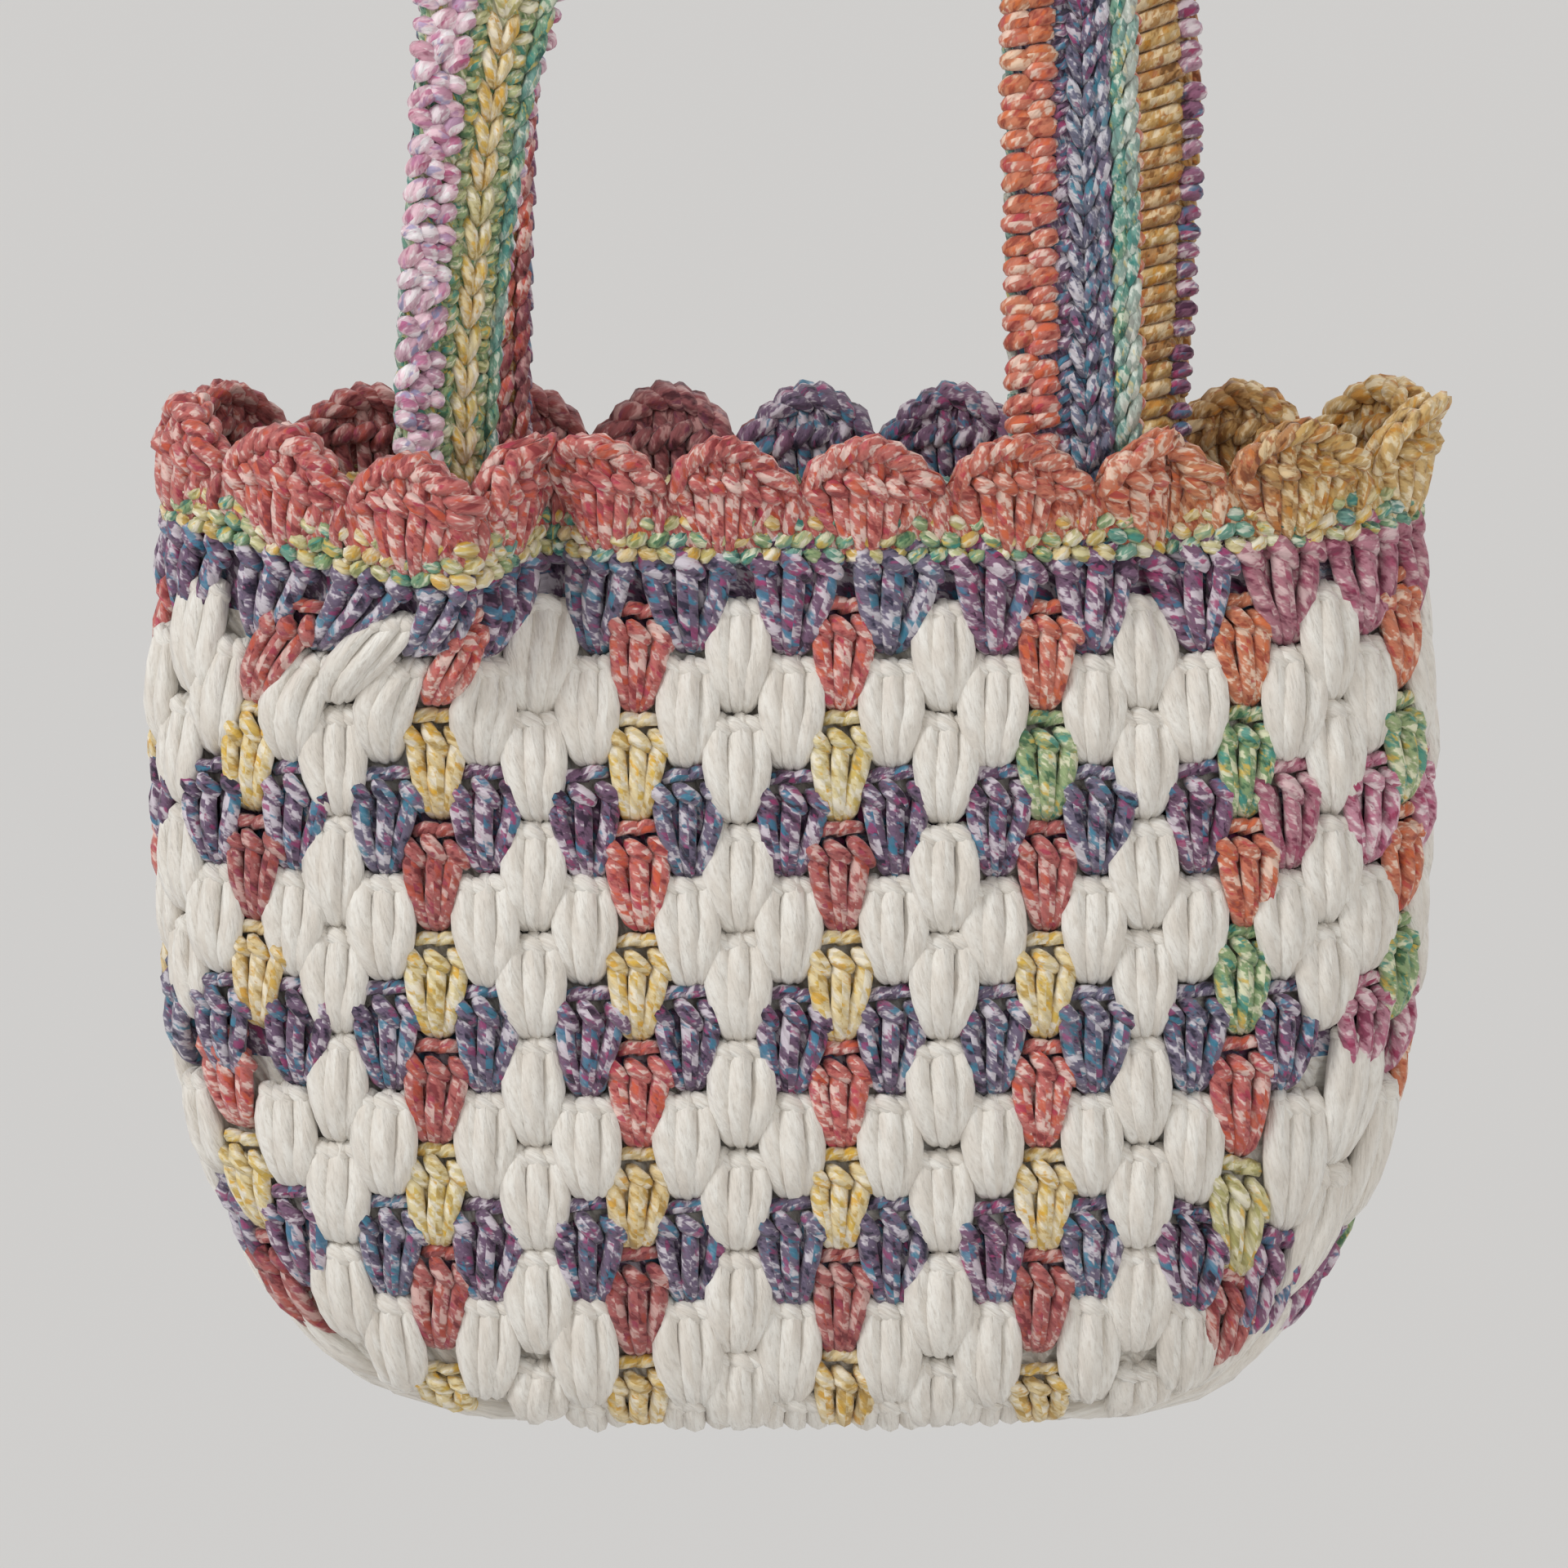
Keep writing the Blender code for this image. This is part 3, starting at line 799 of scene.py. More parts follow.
def row_tone(kind, row, x_side):
    """A cluster's place in the run of colours, by its row and its place round the bag."""
    if kind == "white":
        return WHITE_TONE
    shade = ROW_SHADES[kind]
    gain = LAST_PLUM_GAIN if row == LAST_PLUM_ROW else shade.gain
    change = float(smoothstep((x_side - shade.starts[row // 4]) / shade.span))
    return shade.tone + gain * change + chance.uniform(-shade.darker, shade.paler)


def main_body(speckled, white):
    """All the rows of clusters of the body, in two coloured and two white pieces."""
    stitches = {
        "top": [cluster(2.4, 1.5, 7.6, 26.5, 3.9, 2.3, 2.3) for _ in range(6)],
        "plum": [cluster(2.1, 1.4, 6.1, 25.4, 3.9, 1.9, 1.7) for _ in range(6)],
        "colour": [cluster(2.1, 1.35, 5.2, 25.4, 3.9, 1.85, 1.7) for _ in range(6)],
        "white": [soft_cluster(2.95, 1.9, 4.85, 26.5, 4.1) for _ in range(8)],
    }
    fabrics = {}
    for row in range(ROW_COUNT + BASE_ROWS):
        height = TOP_ROW - ROW_STEP * row
        kind = ROW_KINDS[row % 4] if row < ROW_COUNT else "white"
        outline = Outline(max(height, -0.07))
        items = {"white": [], "colour": []}
        if row < ROW_COUNT:
            for distance, column in row_places(outline, row % 2 == 0):
                is_white = kind == "white" or (kind in ("coral", "yellow") and column % 2)
                signed = outline.signed(distance)
                shade = "white" if is_white else "colour"
                items[shade].append((distance, row_tone(kind, row, signed)))
        else:
            number = max(2, round(outline.length / STITCH_PITCH))
            for i in range(number):
                items["white"].append((outline.length * (i + 0.5 * (row % 2)) / number, WHITE_TONE))
        for shade, chosen in items.items():
            if not chosen:
                continue
            name = f"{shade}_clusters_{'upper' if row < ROW_COUNT // 2 else 'lower'}"
            fabric = fabrics.setdefault(name, Fabric(name))
            templates = stitches[shade]
            if shade == "colour" and kind == "plum":
                templates = stitches["top" if row == 0 else "plum"]
            picks = chance.integers(0, len(templates), len(chosen))
            distances = np.array([item[0] for item in chosen])
            tones = np.array([item[1] for item in chosen])
            for index, stitch in enumerate(templates):
                mine = picks == index
                if not mine.any():
                    continue
                longer = 1.0 + LOW_STRETCH * (row >= LOW_ROW) + LOWEST_STRETCH * (row >= LOWEST_ROW)
                lengths = longer * chance.uniform(0.97, 1.03, int(mine.sum()))
                level = height + (TOP_ROW_RAISE if row == 0 else 0.0)
                points = bend_on_wall(stitch, outline, distances[mine], level, lengths, STITCH_INSET)
                fabric.add(stitch, points, tones[mine])
    for name, fabric in sorted(fabrics.items()):
        material = white if name.startswith("white") else speckled
        piece = fabric.build(material, "body_yarn")
        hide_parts("bag_body")


def top_round(speckled):
    """Small plum knots that join the first row of clusters to the band."""
    fabric = Fabric("top_round")
    knots = [knot() for _ in range(KNOT_KINDS)]
    outline = Outline(1.0)
    number = round(outline.length / KNOT_PITCH)
    starts = outline.length * np.arange(number) / number
    picks = chance.integers(0, len(knots), number)
    shade = ROW_SHADES["plum"]
    for index, stitch in enumerate(knots):
        chosen = starts[picks == index]
        along = chosen[:, None] + stitch.points[None, :, 0] * 1.15
        up = np.broadcast_to(KNOT_LEVEL + stitch.points[None, :, 1] / BODY_HEIGHT, along.shape)
        out = np.broadcast_to(stitch.points[None, :, 2] * 1.2 - KNOT_INSET, along.shape)
        points = off_wall(outline.angle(along), up, out)
        signed = outline.signed(chosen)
        tones = shade.tone + shade.gain * smoothstep((signed - shade.starts[0]) / shade.span)
        tones = tones + chance.uniform(-0.05, 0.05, len(chosen))
        fabric.add(stitch, points, tones)
    piece = fabric.build(speckled, "body_yarn")
    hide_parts("bag_body")


def rim_frames(distance, inset):
    """Points of the rim and its level outward directions, at distances round it."""
    angle = RIM.angle(distance)
    place = wall_place(angle, np.ones_like(angle), inset)
    ahead = wall_place(angle + 0.004, np.ones_like(angle), inset)
    behind = wall_place(angle - 0.004, np.ones_like(angle), inset)
    along = ahead - behind
    out = np.stack((along[..., 1], -along[..., 0], np.zeros_like(along[..., 0])), axis=-1)
    out /= np.linalg.norm(out, axis=-1)[..., None]
    return place, out


def flare_at(height, distance):
    """How far the trim leans outwards at heights above its foot, least at the left end."""
    share = np.clip(height / SCALLOP_HEIGHT, 0.0, 1.2)
    turn = FULL_TURN * distance / RIM.length
    ease = 1.0 - 1.6 * bump(np.sin(turn), -1.0, 0.35) * (np.abs(np.cos(turn)) < 0.75)
    ease = ease - 0.35 * bump(np.sin(turn), 1.0, 0.30) * (np.abs(np.cos(turn)) < 0.75)
    return SCALLOP_FLARE * share**2 * ease


def scallop_place(number):
    """The distance round the rim of a place counted in scallops from the middle front."""
    left = np.mod(-np.asarray(number, dtype=float), SCALLOP_COUNT)
    rise = smoothstep(left / DRIFT_RISE)
    fall = smoothstep((left - DRIFT_FULL) / (DRIFT_END - DRIFT_FULL))
    return RIM.length * (1.0 - left / SCALLOP_COUNT) + SCALLOP_DRIFT * rise * (1.0 - fall)


def bend_on_rim(stitch, starts, foot, inset, trim):
    """Copies of a stitch bent along the rim: its places are along, up and outwards.

    Those of the trim start at places counted in scallops, and flare outwards.
    """
    along = starts[:, None] + stitch.points[None, :, 0]
    if trim:
        along = scallop_place(starts[:, None] + stitch.points[None, :, 0] / (2.0 * HALF_SCALLOP))
    up = stitch.points[None, :, 1]
    place, out = rim_frames(along, inset)
    reach = np.broadcast_to(stitch.points[None, :, 2], along.shape).copy()
    if trim:
        reach = reach + flare_at(up, along)
    points = place + out * reach[..., None]
    points[..., 2] += foot - BODY_TOP + up
    return points


def knot():
    """One small knotted stitch: a plump strand over a thin one, leaning either way."""
    made = Tubes()
    way = chance.choice((-1.0, 1.0))
    lean = loose(0.5)
    under = [
        (way * 2.1, -1.3, -0.3),
        (way * 0.7, -0.2 + lean, 1.1),
        (-way * 0.8, 0.8, 1.1),
        (-way * 2.0, 1.4, -0.3),
    ]
    made.strand(under, 1.15 + loose(0.12), sides=6, steps=4)
    over = [
        (-way * 1.7, -0.9 + lean, -0.2),
        (-way * 0.7, -0.5, 1.6),
        (way * 0.6, 0.4 + lean, 1.7),
        (way * 1.6, 1.0, 0.0),
    ]
    made.strand(over, np.array((1.2, 1.75, 1.75, 1.2)) * (1.0 + loose(0.1)), sides=7, steps=6)
    return made.finish()


# Tones of the trim at shares of the way round the rim, to the right from the middle front; behind, the darker
# gold on the right and the darker rose on the left are painted shade
RIM_TONES = np.array((
    (0.00, 0.40), (0.03, 0.41), (0.08, 0.45), (0.13, 0.49), (0.165, 0.55), (0.18, 0.60),
    (0.23, 0.63), (0.33, 0.58), (0.36, 0.56), (0.3970, 0.50), (0.3971, 0.14), (0.48, 0.08),
    (0.4950, 0.13), (0.4951, 0.345), (0.54, 0.355), (0.68, 0.375), (0.72, 0.39), (1.00, 0.40),
))


def rim_tone(distance):
    """The trim's place in the run of colours: coral left, gold right and plum right behind, with painted
    shade in the darker rose and gold behind.
    """
    share = np.mod(distance, RIM.length) / RIM.length
    return np.interp(share, RIM_TONES[:, 0], RIM_TONES[:, 1])


# Rows of the band: height over its foot, inset from the wall's face, and outwards or inwards
BAND_ROWS = (
    (-0.0002, 0.0032, 1.0),
    (0.0034, 0.0030, 1.0),
    (0.0072, 0.0034, 1.0),
    (0.0056, 0.0042, -1.0),
)
BAND_YELLOWS = (0.665, 0.775)
BAND_GREENS = (0.82, 0.91)


def rim_band(speckled):
    """Three rows of small knotted stitches round the mouth, and one that faces inwards."""
    fabric = Fabric("band_stitches")
    knots = [knot() for _ in range(KNOT_KINDS)]
    number = 2 * round(RIM.length / (2 * BAND_PITCH))
    for row, (rise, inset, way) in enumerate(BAND_ROWS):
        starts = RIM.length * (np.arange(number) + 0.5 * row) / number
        starts = starts + chance.uniform(-STITCH_STRAY, STITCH_STRAY, number)
        picks = chance.integers(0, len(knots), number)
        for index, stitch in enumerate(knots):
            chosen = starts[picks == index]
            turned = Tubes()
            turned.corners, turned.sizes, turned.yarn = stitch.corners, stitch.sizes, stitch.yarn
            turned.points = stitch.points * np.array((way, 1.0, way))
            points = bend_on_rim(turned, chosen, BAND_BOTTOM + rise, inset, trim=False)
            tones = chance.uniform(*BAND_YELLOWS, len(chosen))
            signed = RIM.signed(chosen)
            often = 0.24 + 0.30 * smoothstep((signed + 0.05) / 0.04)
            greens = chance.uniform(0.0, 1.0, len(chosen)) < often
            tones = np.where(greens, chance.uniform(*BAND_GREENS, len(chosen)), tones)
            fabric.add(turned, points, tones)
    piece = fabric.build(speckled, "band_yarn")
    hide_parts("rim_band")


def scallop_edge(u, half):
    """The height of a scallop's top edge, in millimetres, at places across it."""
    phase = np.clip(0.5 + 0.5 * np.asarray(u) / half, 0.0, 1.0)
    arch = np.sin(math.pi * phase) ** 0.65
    low = VALLEY_HEIGHT / MM
    return low + (SCALLOP_HEIGHT / MM - low) * arch


def shell(half):
    """One scallop: plump posts from a broad low foot, wraps and a rolled chain on top."""
    made = Tubes()
    for share in np.linspace(-1.0, 1.0, 6):
        top_u = 11.8 * share + loose(0.3)
        top_h = float(scallop_edge(top_u, half)) - 4.6
        foot_u = 6.2 * share
        foot_h = -5.2 + 4.6 * share**2
        belly = 2.7 * (1.0 - 0.7 * share**2)
        way = loose(0.4)
        path = [
            (foot_u, foot_h, 0.2),
            (foot_u + 0.36 * (top_u - foot_u), foot_h + 0.22 * (top_h - foot_h), 0.85 * belly),
            (foot_u + 0.74 * (top_u - foot_u) + way, foot_h + 0.56 * (top_h - foot_h), belly),
            (top_u, top_h, 0.4 * belly),
        ]
        made.strand(path, np.array((1.3, 2.0, 2.15, 1.7)), sides=9, steps=8, lobes=3, twist=0.5)
        inner = [(u, h, -0.75 * w - 0.2) for u, h, w in path[1:]]
        made.strand(inner, np.array((1.4, 1.9, 1.6)), sides=7, steps=6)
        u = foot_u + 0.86 * (top_u - foot_u) + loose(0.3)
        h = foot_h + 0.72 * (top_h - foot_h) + loose(0.8)
        slant = 1.0 + loose(0.4)
        for face in (1.0, -1.0):
            wrap = [
                (u - 2.3, h + 1.7 * slant, -0.2 * face),
                (u - 0.9, h + 1.1 * slant, face * (belly + 1.5)),
                (u + 0.9, h - 0.6 * slant, face * (belly + 1.4)),
                (u + 2.1, h - 2.3 * slant, face * (belly - 0.7)),
            ]
            made.strand(wrap, np.array((1.4, 2.1, 2.0, 1.2)) * (1.0 + loose(0.1)), sides=7, steps=6)
    number = 7
    marks = half * np.linspace(-1.0, 1.0, number + 1)
    for side in (1.0, -1.0):
        for i in range(number):
            left = marks[i] - 0.5 * (side < 0)
            right = marks[i + 1] + 1.6
            low = float(scallop_edge(max(left, -half), half))
            high = float(scallop_edge(min(right, half), half))
            start = np.array((left, low))
            end = np.array((right, high))
            run = (end - start) / np.linalg.norm(end - start)
            square = np.array((-run[1], run[0]))
            a = start - 4.4 * square
            b = start * 0.68 + end * 0.32 - 3.0 * square
            c = start * 0.30 + end * 0.70 - 1.6 * square
            d = end - 1.9 * square
            bulge = 0.25 * half * (1.0 - abs(marks[i] + marks[i + 1]) / (2.0 * half)) * 0.3
            b[1] += bulge
            c[1] += bulge
            lower = loose(0.7)
            strand = [
                (a[0] + loose(0.5), a[1] + lower, side * 1.6),
                (b[0], b[1] + 0.4 * lower, side * 2.9 + loose(0.3)),
                (c[0], c[1], side * 2.0 + loose(0.3)),
                (d[0], d[1], side * 0.2),
            ]
            girth = np.array((1.4, 2.05, 2.05, 1.4)) * (1.0 + loose(0.12))
            made.strand(strand, girth, sides=8, steps=7, lobes=3, twist=0.5)
    return made.finish()


def anchor_stitch():
    """The upright stitch that holds the valley between two scallops to the band."""
    made = Tubes()
    sway = chance.uniform(-0.5, 0.5)
    front = [(-0.5 + sway, -2.0, 0.4), (-0.7 + sway, 1.5, 1.7), (-0.2, 5.0, 1.9), (0.2, 8.0, 0.4)]
    right = [(2.0, -1.2, -0.2), (1.3, 1.8, 0.5), (1.4, 5.4, 0.3)]
    left = [(-2.2, -1.2, -0.2), (-1.9, 1.8, 0.4), (-1.8, 5.4, 0.2)]
    made.strand(front, np.array((0.9, 1.45, 1.55, 1.0)), sides=8, steps=7, lobes=3, twist=0.5)
    for path in (right, left):
        made.strand(path, np.array((1.0, 1.5, 1.2)), sides=8, steps=6, lobes=3, twist=0.5)
    return made.finish()


def backing(half):
    """The closed middle of a scallop, behind its posts: a thin lens with a bumpy face."""
    made = Tubes()
    columns = 27
    levels = 9
    share = np.linspace(-1.0, 1.0, columns)
    height = np.linspace(0.0, 1.0, levels)[:, None]
    top = scallop_edge(share * half, half) - 2.6
    up = -5.0 + (top + 5.0)[None] * height
    across = half * share[None] * (0.46 + 0.54 * smoothstep(height / 0.5))
    bumps = 0.7 * np.abs(np.sin(3.0 * math.pi * (share[None] + 1.0) + 2.0 * height))
    through = 0.9 + bumps * (height > 0.0) * (height < 1.0)
    sheets = [np.stack((across, up, face * through), axis=-1).reshape(-1, 3) for face in (1.0, -1.0)]
    points = np.concatenate(sheets) * MM
    quads = grid_faces(levels, columns, closed=False).reshape(-1, 4)
    behind = quads[:, ::-1] + levels * columns
    made.points = points
    made.corners = np.concatenate((quads, behind)).reshape(-1)
    made.sizes = np.full(2 * len(quads), 4)
    spot = points[made.corners]
    made.yarn = np.stack((spot[:, 1] / MM, spot[:, 0] * 170.0), axis=-1)
    made.middle = points[:, 0]
    return made


def scallop_trim(speckled):
    """The scallops round the mouth, with a stitch that holds each valley between two."""
    fabric = Fabric("scallop_stitches")
    half = HALF_SCALLOP / MM
    centres = np.arange(SCALLOP_COUNT) + 0.5
    picks = np.arange(SCALLOP_COUNT) % SHELL_KINDS
    inset = 0.5 * TRIM_THICKNESS
    pieces = [(shell(half), centres[picks == index]) for index in range(SHELL_KINDS)]
    pieces.append((backing(half), centres))
    for stitch, chosen in pieces:
        points = bend_on_rim(stitch, chosen, TRIM_FOOT - TRIM_SINK, inset, trim=True)
        where = scallop_place(chosen[:, None] + stitch.middle[None] / (2.0 * HALF_SCALLOP))
        fabric.add(stitch, points, rim_tone(where))
    valleys = np.arange(SCALLOP_COUNT).astype(float)
    for index in range(ANCHOR_KINDS):
        anchor = anchor_stitch()
        chosen = valleys[valleys % ANCHOR_KINDS == index]
        points = bend_on_rim(anchor, chosen, TRIM_FOOT - TRIM_SINK, inset, trim=True)
        fabric.add(anchor, points, rim_tone(scallop_place(chosen)) - 0.01)
    piece = fabric.build(speckled, "trim_yarn")
    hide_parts("scallop_trim")


# Straps: front or back, how far back each end is seated, and stations from the left end to the
# right one: the share of the rise, the place across, the share of the width, the turn in degrees
# and how near to the seat
Strap = namedtuple("Strap", "name side seats stations")
FRONT_STATIONS = (
    (0.000, -1.000, 0.78, 25, 1.00),
    (0.110, -0.995, 0.80, 25, 1.00),
    (0.220, -0.970, 0.83, 22, 0.93),
    (0.380, -0.915, 0.90, 16, 0.77),
    (0.540, -0.840, 1.12, 12, 0.60),
    (0.720, -0.730, 1.08, 30, 0.40),
    (0.870, -0.530, 1.00, 62, 0.20),
    (0.965, -0.270, 1.00, 82, 0.06),
    (1.000, 0.000, 1.00, 90, 0.00),
    (0.965, 0.260, 1.00, 98, 0.06),
    (0.870, 0.500, 1.00, 118, 0.20),
    (0.720, 0.690, 1.00, 150, 0.40),
    (0.540, 0.780, 0.98, 176, 0.60),
    (0.380, 0.795, 0.97, 180, 0.77),
    (0.220, 0.805, 0.97, 180, 0.93),
    (0.110, 0.812, 0.97, 180, 1.00),
    (0.000, 0.815, 0.97, 180, 1.00),
)
BACK_STATIONS = (
    (0.000, -0.950, 0.95, 0, 1.00),
    (0.110, -0.950, 0.95, 0, 1.00),
    (0.220, -0.945, 0.96, 0, 0.93),
    (0.380, -0.925, 0.97, 0, 0.77),
    (0.540, -0.870, 1.00, 6, 0.60),
    (0.720, -0.750, 1.00, 30, 0.40),
    (0.870, -0.540, 1.00, 62, 0.20),
    (0.965, -0.270, 1.00, 82, 0.06),
    (1.000, 0.000, 1.00, 90, 0.00),
    (0.965, 0.280, 1.00, 98, 0.06),
    (0.870, 0.560, 1.00, 118, 0.20),
    (0.720, 0.800, 1.00, 150, 0.40),
    (0.540, 0.955, 0.98, 174, 0.60),
    (0.380, 1.010, 0.97, 180, 0.77),
    (0.220, 1.000, 0.97, 180, 0.93),
    (0.110, 0.985, 0.97, 180, 1.00),
    (0.000, 0.975, 0.97, 180, 1.00),
)
STRAPS = (
    Strap("front_handle", -1.0, (-0.0276, -0.0237), FRONT_STATIONS),
    Strap("back_handle", 1.0, (0.0240, 0.0238), BACK_STATIONS),
)
STATION_STEPS = 10
TUCK_STEPS = 10


class StrapPath:
    """The middle line of a strap with its flat and upright directions."""

    def __init__(self, strap):
        top_y = strap.side * 0.5 * (STRAP_WIDTH + SEAM_GAP)
        rise = HANDLE_RISE + 0.5 * STRAP_THICKNESS
        fine = between(strap.stations, STATION_STEPS)
        middle = len(fine) // 2
        seat = np.where(np.arange(len(fine)) <= middle, strap.seats[0], strap.seats[1])
        x = HANDLE_SPREAD * fine[:, 1]
        y = top_y + (seat - top_y) * fine[:, 4]
        z = BAND_TOP + rise * fine[:, 0]
        line = np.column_stack((x, y, z))
        low = np.array((0.0, 0.0, -HANDLE_TUCK))
        tuck = np.linspace(0.1, 1.0, TUCK_STEPS)[:, None]
        self.line = np.vstack((line[0] + low * tuck[::-1], line, line[-1] + low * tuck))
        width, turn = np.pad(fine[:, 2:4], ((TUCK_STEPS, TUCK_STEPS), (0, 0)), mode="edge").T
        turn = np.radians(turn)
        tangent = np.gradient(self.line, axis=0)
        tangent /= np.linalg.norm(tangent, axis=1)[:, None]
        flat = np.column_stack((np.cos(turn), np.sin(turn), 0.0 * turn))
        flat -= tangent * np.sum(flat * tangent, axis=1)[:, None]
        flat /= np.linalg.norm(flat, axis=1)[:, None]
        self.flat = flat
        self.normal = np.cross(tangent, flat)
        self.width = width
        steps = np.linalg.norm(np.diff(self.line, axis=0), axis=1)
        self.along = np.concatenate(([0.0], np.cumsum(steps)))
        self.length = self.along[-1]
        self.middle = float(self.along[TUCK_STEPS + middle])

    def at(self, along, across, through):
        """Points at distances along the strap, across its flat and through it."""
        def read(values):
            """Places or directions read between the known ones."""
            parts = [np.interp(along, self.along, values[:, i]) for i in range(3)]
            return np.stack(parts, axis=-1)

        width = np.interp(along, self.along, self.width)
        centre = read(self.line)
        tucked = 1.0 - smoothstep((centre[..., 2] - BAND_TOP + 0.010) / 0.010)
        through = through * (1.0 - 0.45 * tucked)
        centre[..., 1] -= 0.0022 * tucked * np.sign(centre[..., 1])
        place = centre + read(self.flat) * (across * width)[..., None]
        return place + read(self.normal) * through[..., None]


# Stitches of the straps, in millimetres: points across, along and off the face, each with its
# share of a random lean; the strand's thickness; how far lean and thickness vary; on which
# sides the strand lies; its sides and steps; and its plies
StrapStitch = namedtuple("StrapStitch", "path girth lean stray ways sides steps lobes twist")
STRAP_STITCHES = {
    "knob": StrapStitch(
        ((-2.3, -0.7, -0.3, -1), (-0.9, 0.2, 1.7, 0), (0.9, 0.4, 1.9, 1), (2.1, -0.3, -0.2, 1)),
        (1.5, 2.2, 2.15, 1.4), 1.1, 0.14, (1.0,), 9, 7, 0, 0.0,
    ),
    "bead": StrapStitch(
        ((-1.7, -0.8, 0.0, -1), (-0.5, 0.0, 1.4, 0), (0.6, 0.3, 1.4, 1), (1.7, 0.9, 0.0, 0)),
        (1.1, 1.6, 1.6, 1.1), 0.6, 0.08, (1.0,), 6, 5, 0, 0.0,
    ),
    "braid": StrapStitch(
        ((0.2, -5.0, 0.0, 0), (0.9, -2.2, 1.8, 0), (2.1, 1.2, 2.1, 0), (2.9, 4.0, 0.0, 0)),
        (0.9, 1.6, 1.75, 1.1), 0.0, 0.0, (-1.0, 1.0), 7, 6, 3, 0.6,
    ),
    "link": StrapStitch(
        ((-1.3, -4.4, -0.2, 0), (-0.4, -1.4, 1.5, 0), (0.4, 1.4, 1.6, 0), (1.3, 4.4, -0.2, 0)),
        (1.0, 1.7, 1.75, 1.0), 0.0, 0.0, (1.0,), 7, 6, 3, 0.6,
    ),
    "rib": StrapStitch(
        ((-7.0, -1.8, -0.2, 0), (-2.6, -0.7, 1.6, 0), (2.2, 0.6, 1.9, 0), (5.4, 1.6, 1.6, 0),
         (7.0, 1.4, 0.0, 0)),
        (1.6, 2.1, 2.2, 2.3, 1.8), 0.0, 0.0, (1.0,), 8, 7, 0, 0.0,
    ),
    "bar": StrapStitch(
        ((-2.9, -0.9, -0.4, -1), (-1.2, 0.1, 1.6, 0), (1.2, 0.4, 1.8, 1), (2.9, 0.0, -0.4, 1)),
        (1.7, 2.25, 2.3, 1.7), 0.5, 0.1, (1.0,), 8, 7, 0, 0.0,
    ),
}
STRAP_KINDS = 4


def strap_stitch(kind):
    """One stitch of a strap, with x across the strap, y along it and z off its face."""
    made = Tubes()
    shape = STRAP_STITCHES[kind]
    lean = loose(shape.lean) if shape.lean else 0.0
    girth = np.array(shape.girth)
    if shape.stray:
        girth = girth * (1.0 + loose(shape.stray))
    for way in shape.ways:
        path = [(way * x, y + tilt * lean, z) for x, y, z, tilt in shape.path]
        made.strand(path, girth, shape.sides, shape.steps, shape.lobes, shape.twist)
    return made.finish()


# Columns of stitches across a strap: where each lies, its kind, its pitch along the strap,
# and its place in the run of colours at the foot and at the top of that half
Column = namedtuple("Column", "across kind pitch low high")
LEFT_FRONT = (
    Column(-13.4, "knob", 5.1, 0.245, 0.265),
    Column(-9.6, "knob", 4.2, 0.225, 0.25),
    Column(-5.6, "knob", 4.6, 0.235, 0.26),
    Column(-1.6, "bead", 3.7, 0.82, 0.78),
    Column(3.6, "braid", 7.7, 0.715, 0.70),
    Column(8.4, "bead", 3.9, 0.80, 0.77),
    Column(12.4, "link", 6.4, 0.88, 0.90),
)
RIGHT_FRONT = (
    Column(-12.4, "bar", 4.5, 0.41, 0.495),
    Column(-7.2, "bar", 4.1, 0.405, 0.485),
    Column(-2.4, "bead", 3.7, 0.08, 0.12),
    Column(2.4, "braid", 7.2, 0.02, 0.07),
    Column(7.2, "link", 5.6, 0.05, 0.03),
    Column(10.8, "link", 5.9, 0.895, 0.90),
    Column(13.6, "link", 6.4, 0.935, 0.93),
)
LEFT_BACK = (
    Column(-12.8, "link", 6.2, 0.14, 0.14),
    Column(-7.6, "bar", 4.4, 0.54, 0.58),
    Column(-2.0, "bar", 4.4, 0.58, 0.60),
    Column(2.6, "bead", 3.6, 0.12, 0.14),
    Column(7.0, "braid", 7.3, 0.37, 0.43),
    Column(12.4, "link", 6.2, 0.36, 0.40),
)
# The back strap's right half: its gold columns read the darker gold near 0.56, painted shade
RIGHT_BACK = (
    Column(-13.0, "link", 6.0, 0.56, 0.57),
    Column(-9.4, "bead", 3.7, 0.56, 0.57),
    Column(-5.8, "bead", 3.9, 0.57, 0.56),
    Column(3.6, "rib", 4.5, 0.585, 0.590),
    Column(12.8, "knob", 4.6, 0.12, 0.20),
)

# How far the stitches keep from a strap's ends, sink into it and stray from their places
STRAP_END = 0.002
STITCH_SEAT = 0.0038
KNOB_STRAY = 0.0009
CHAIN_STRAY = 0.0003


def opposite_tone(columns, across):
    """The upper colour of the column that lies nearest to a place across the strap."""
    return min(columns, key=lambda column: abs(column.across - across)).high


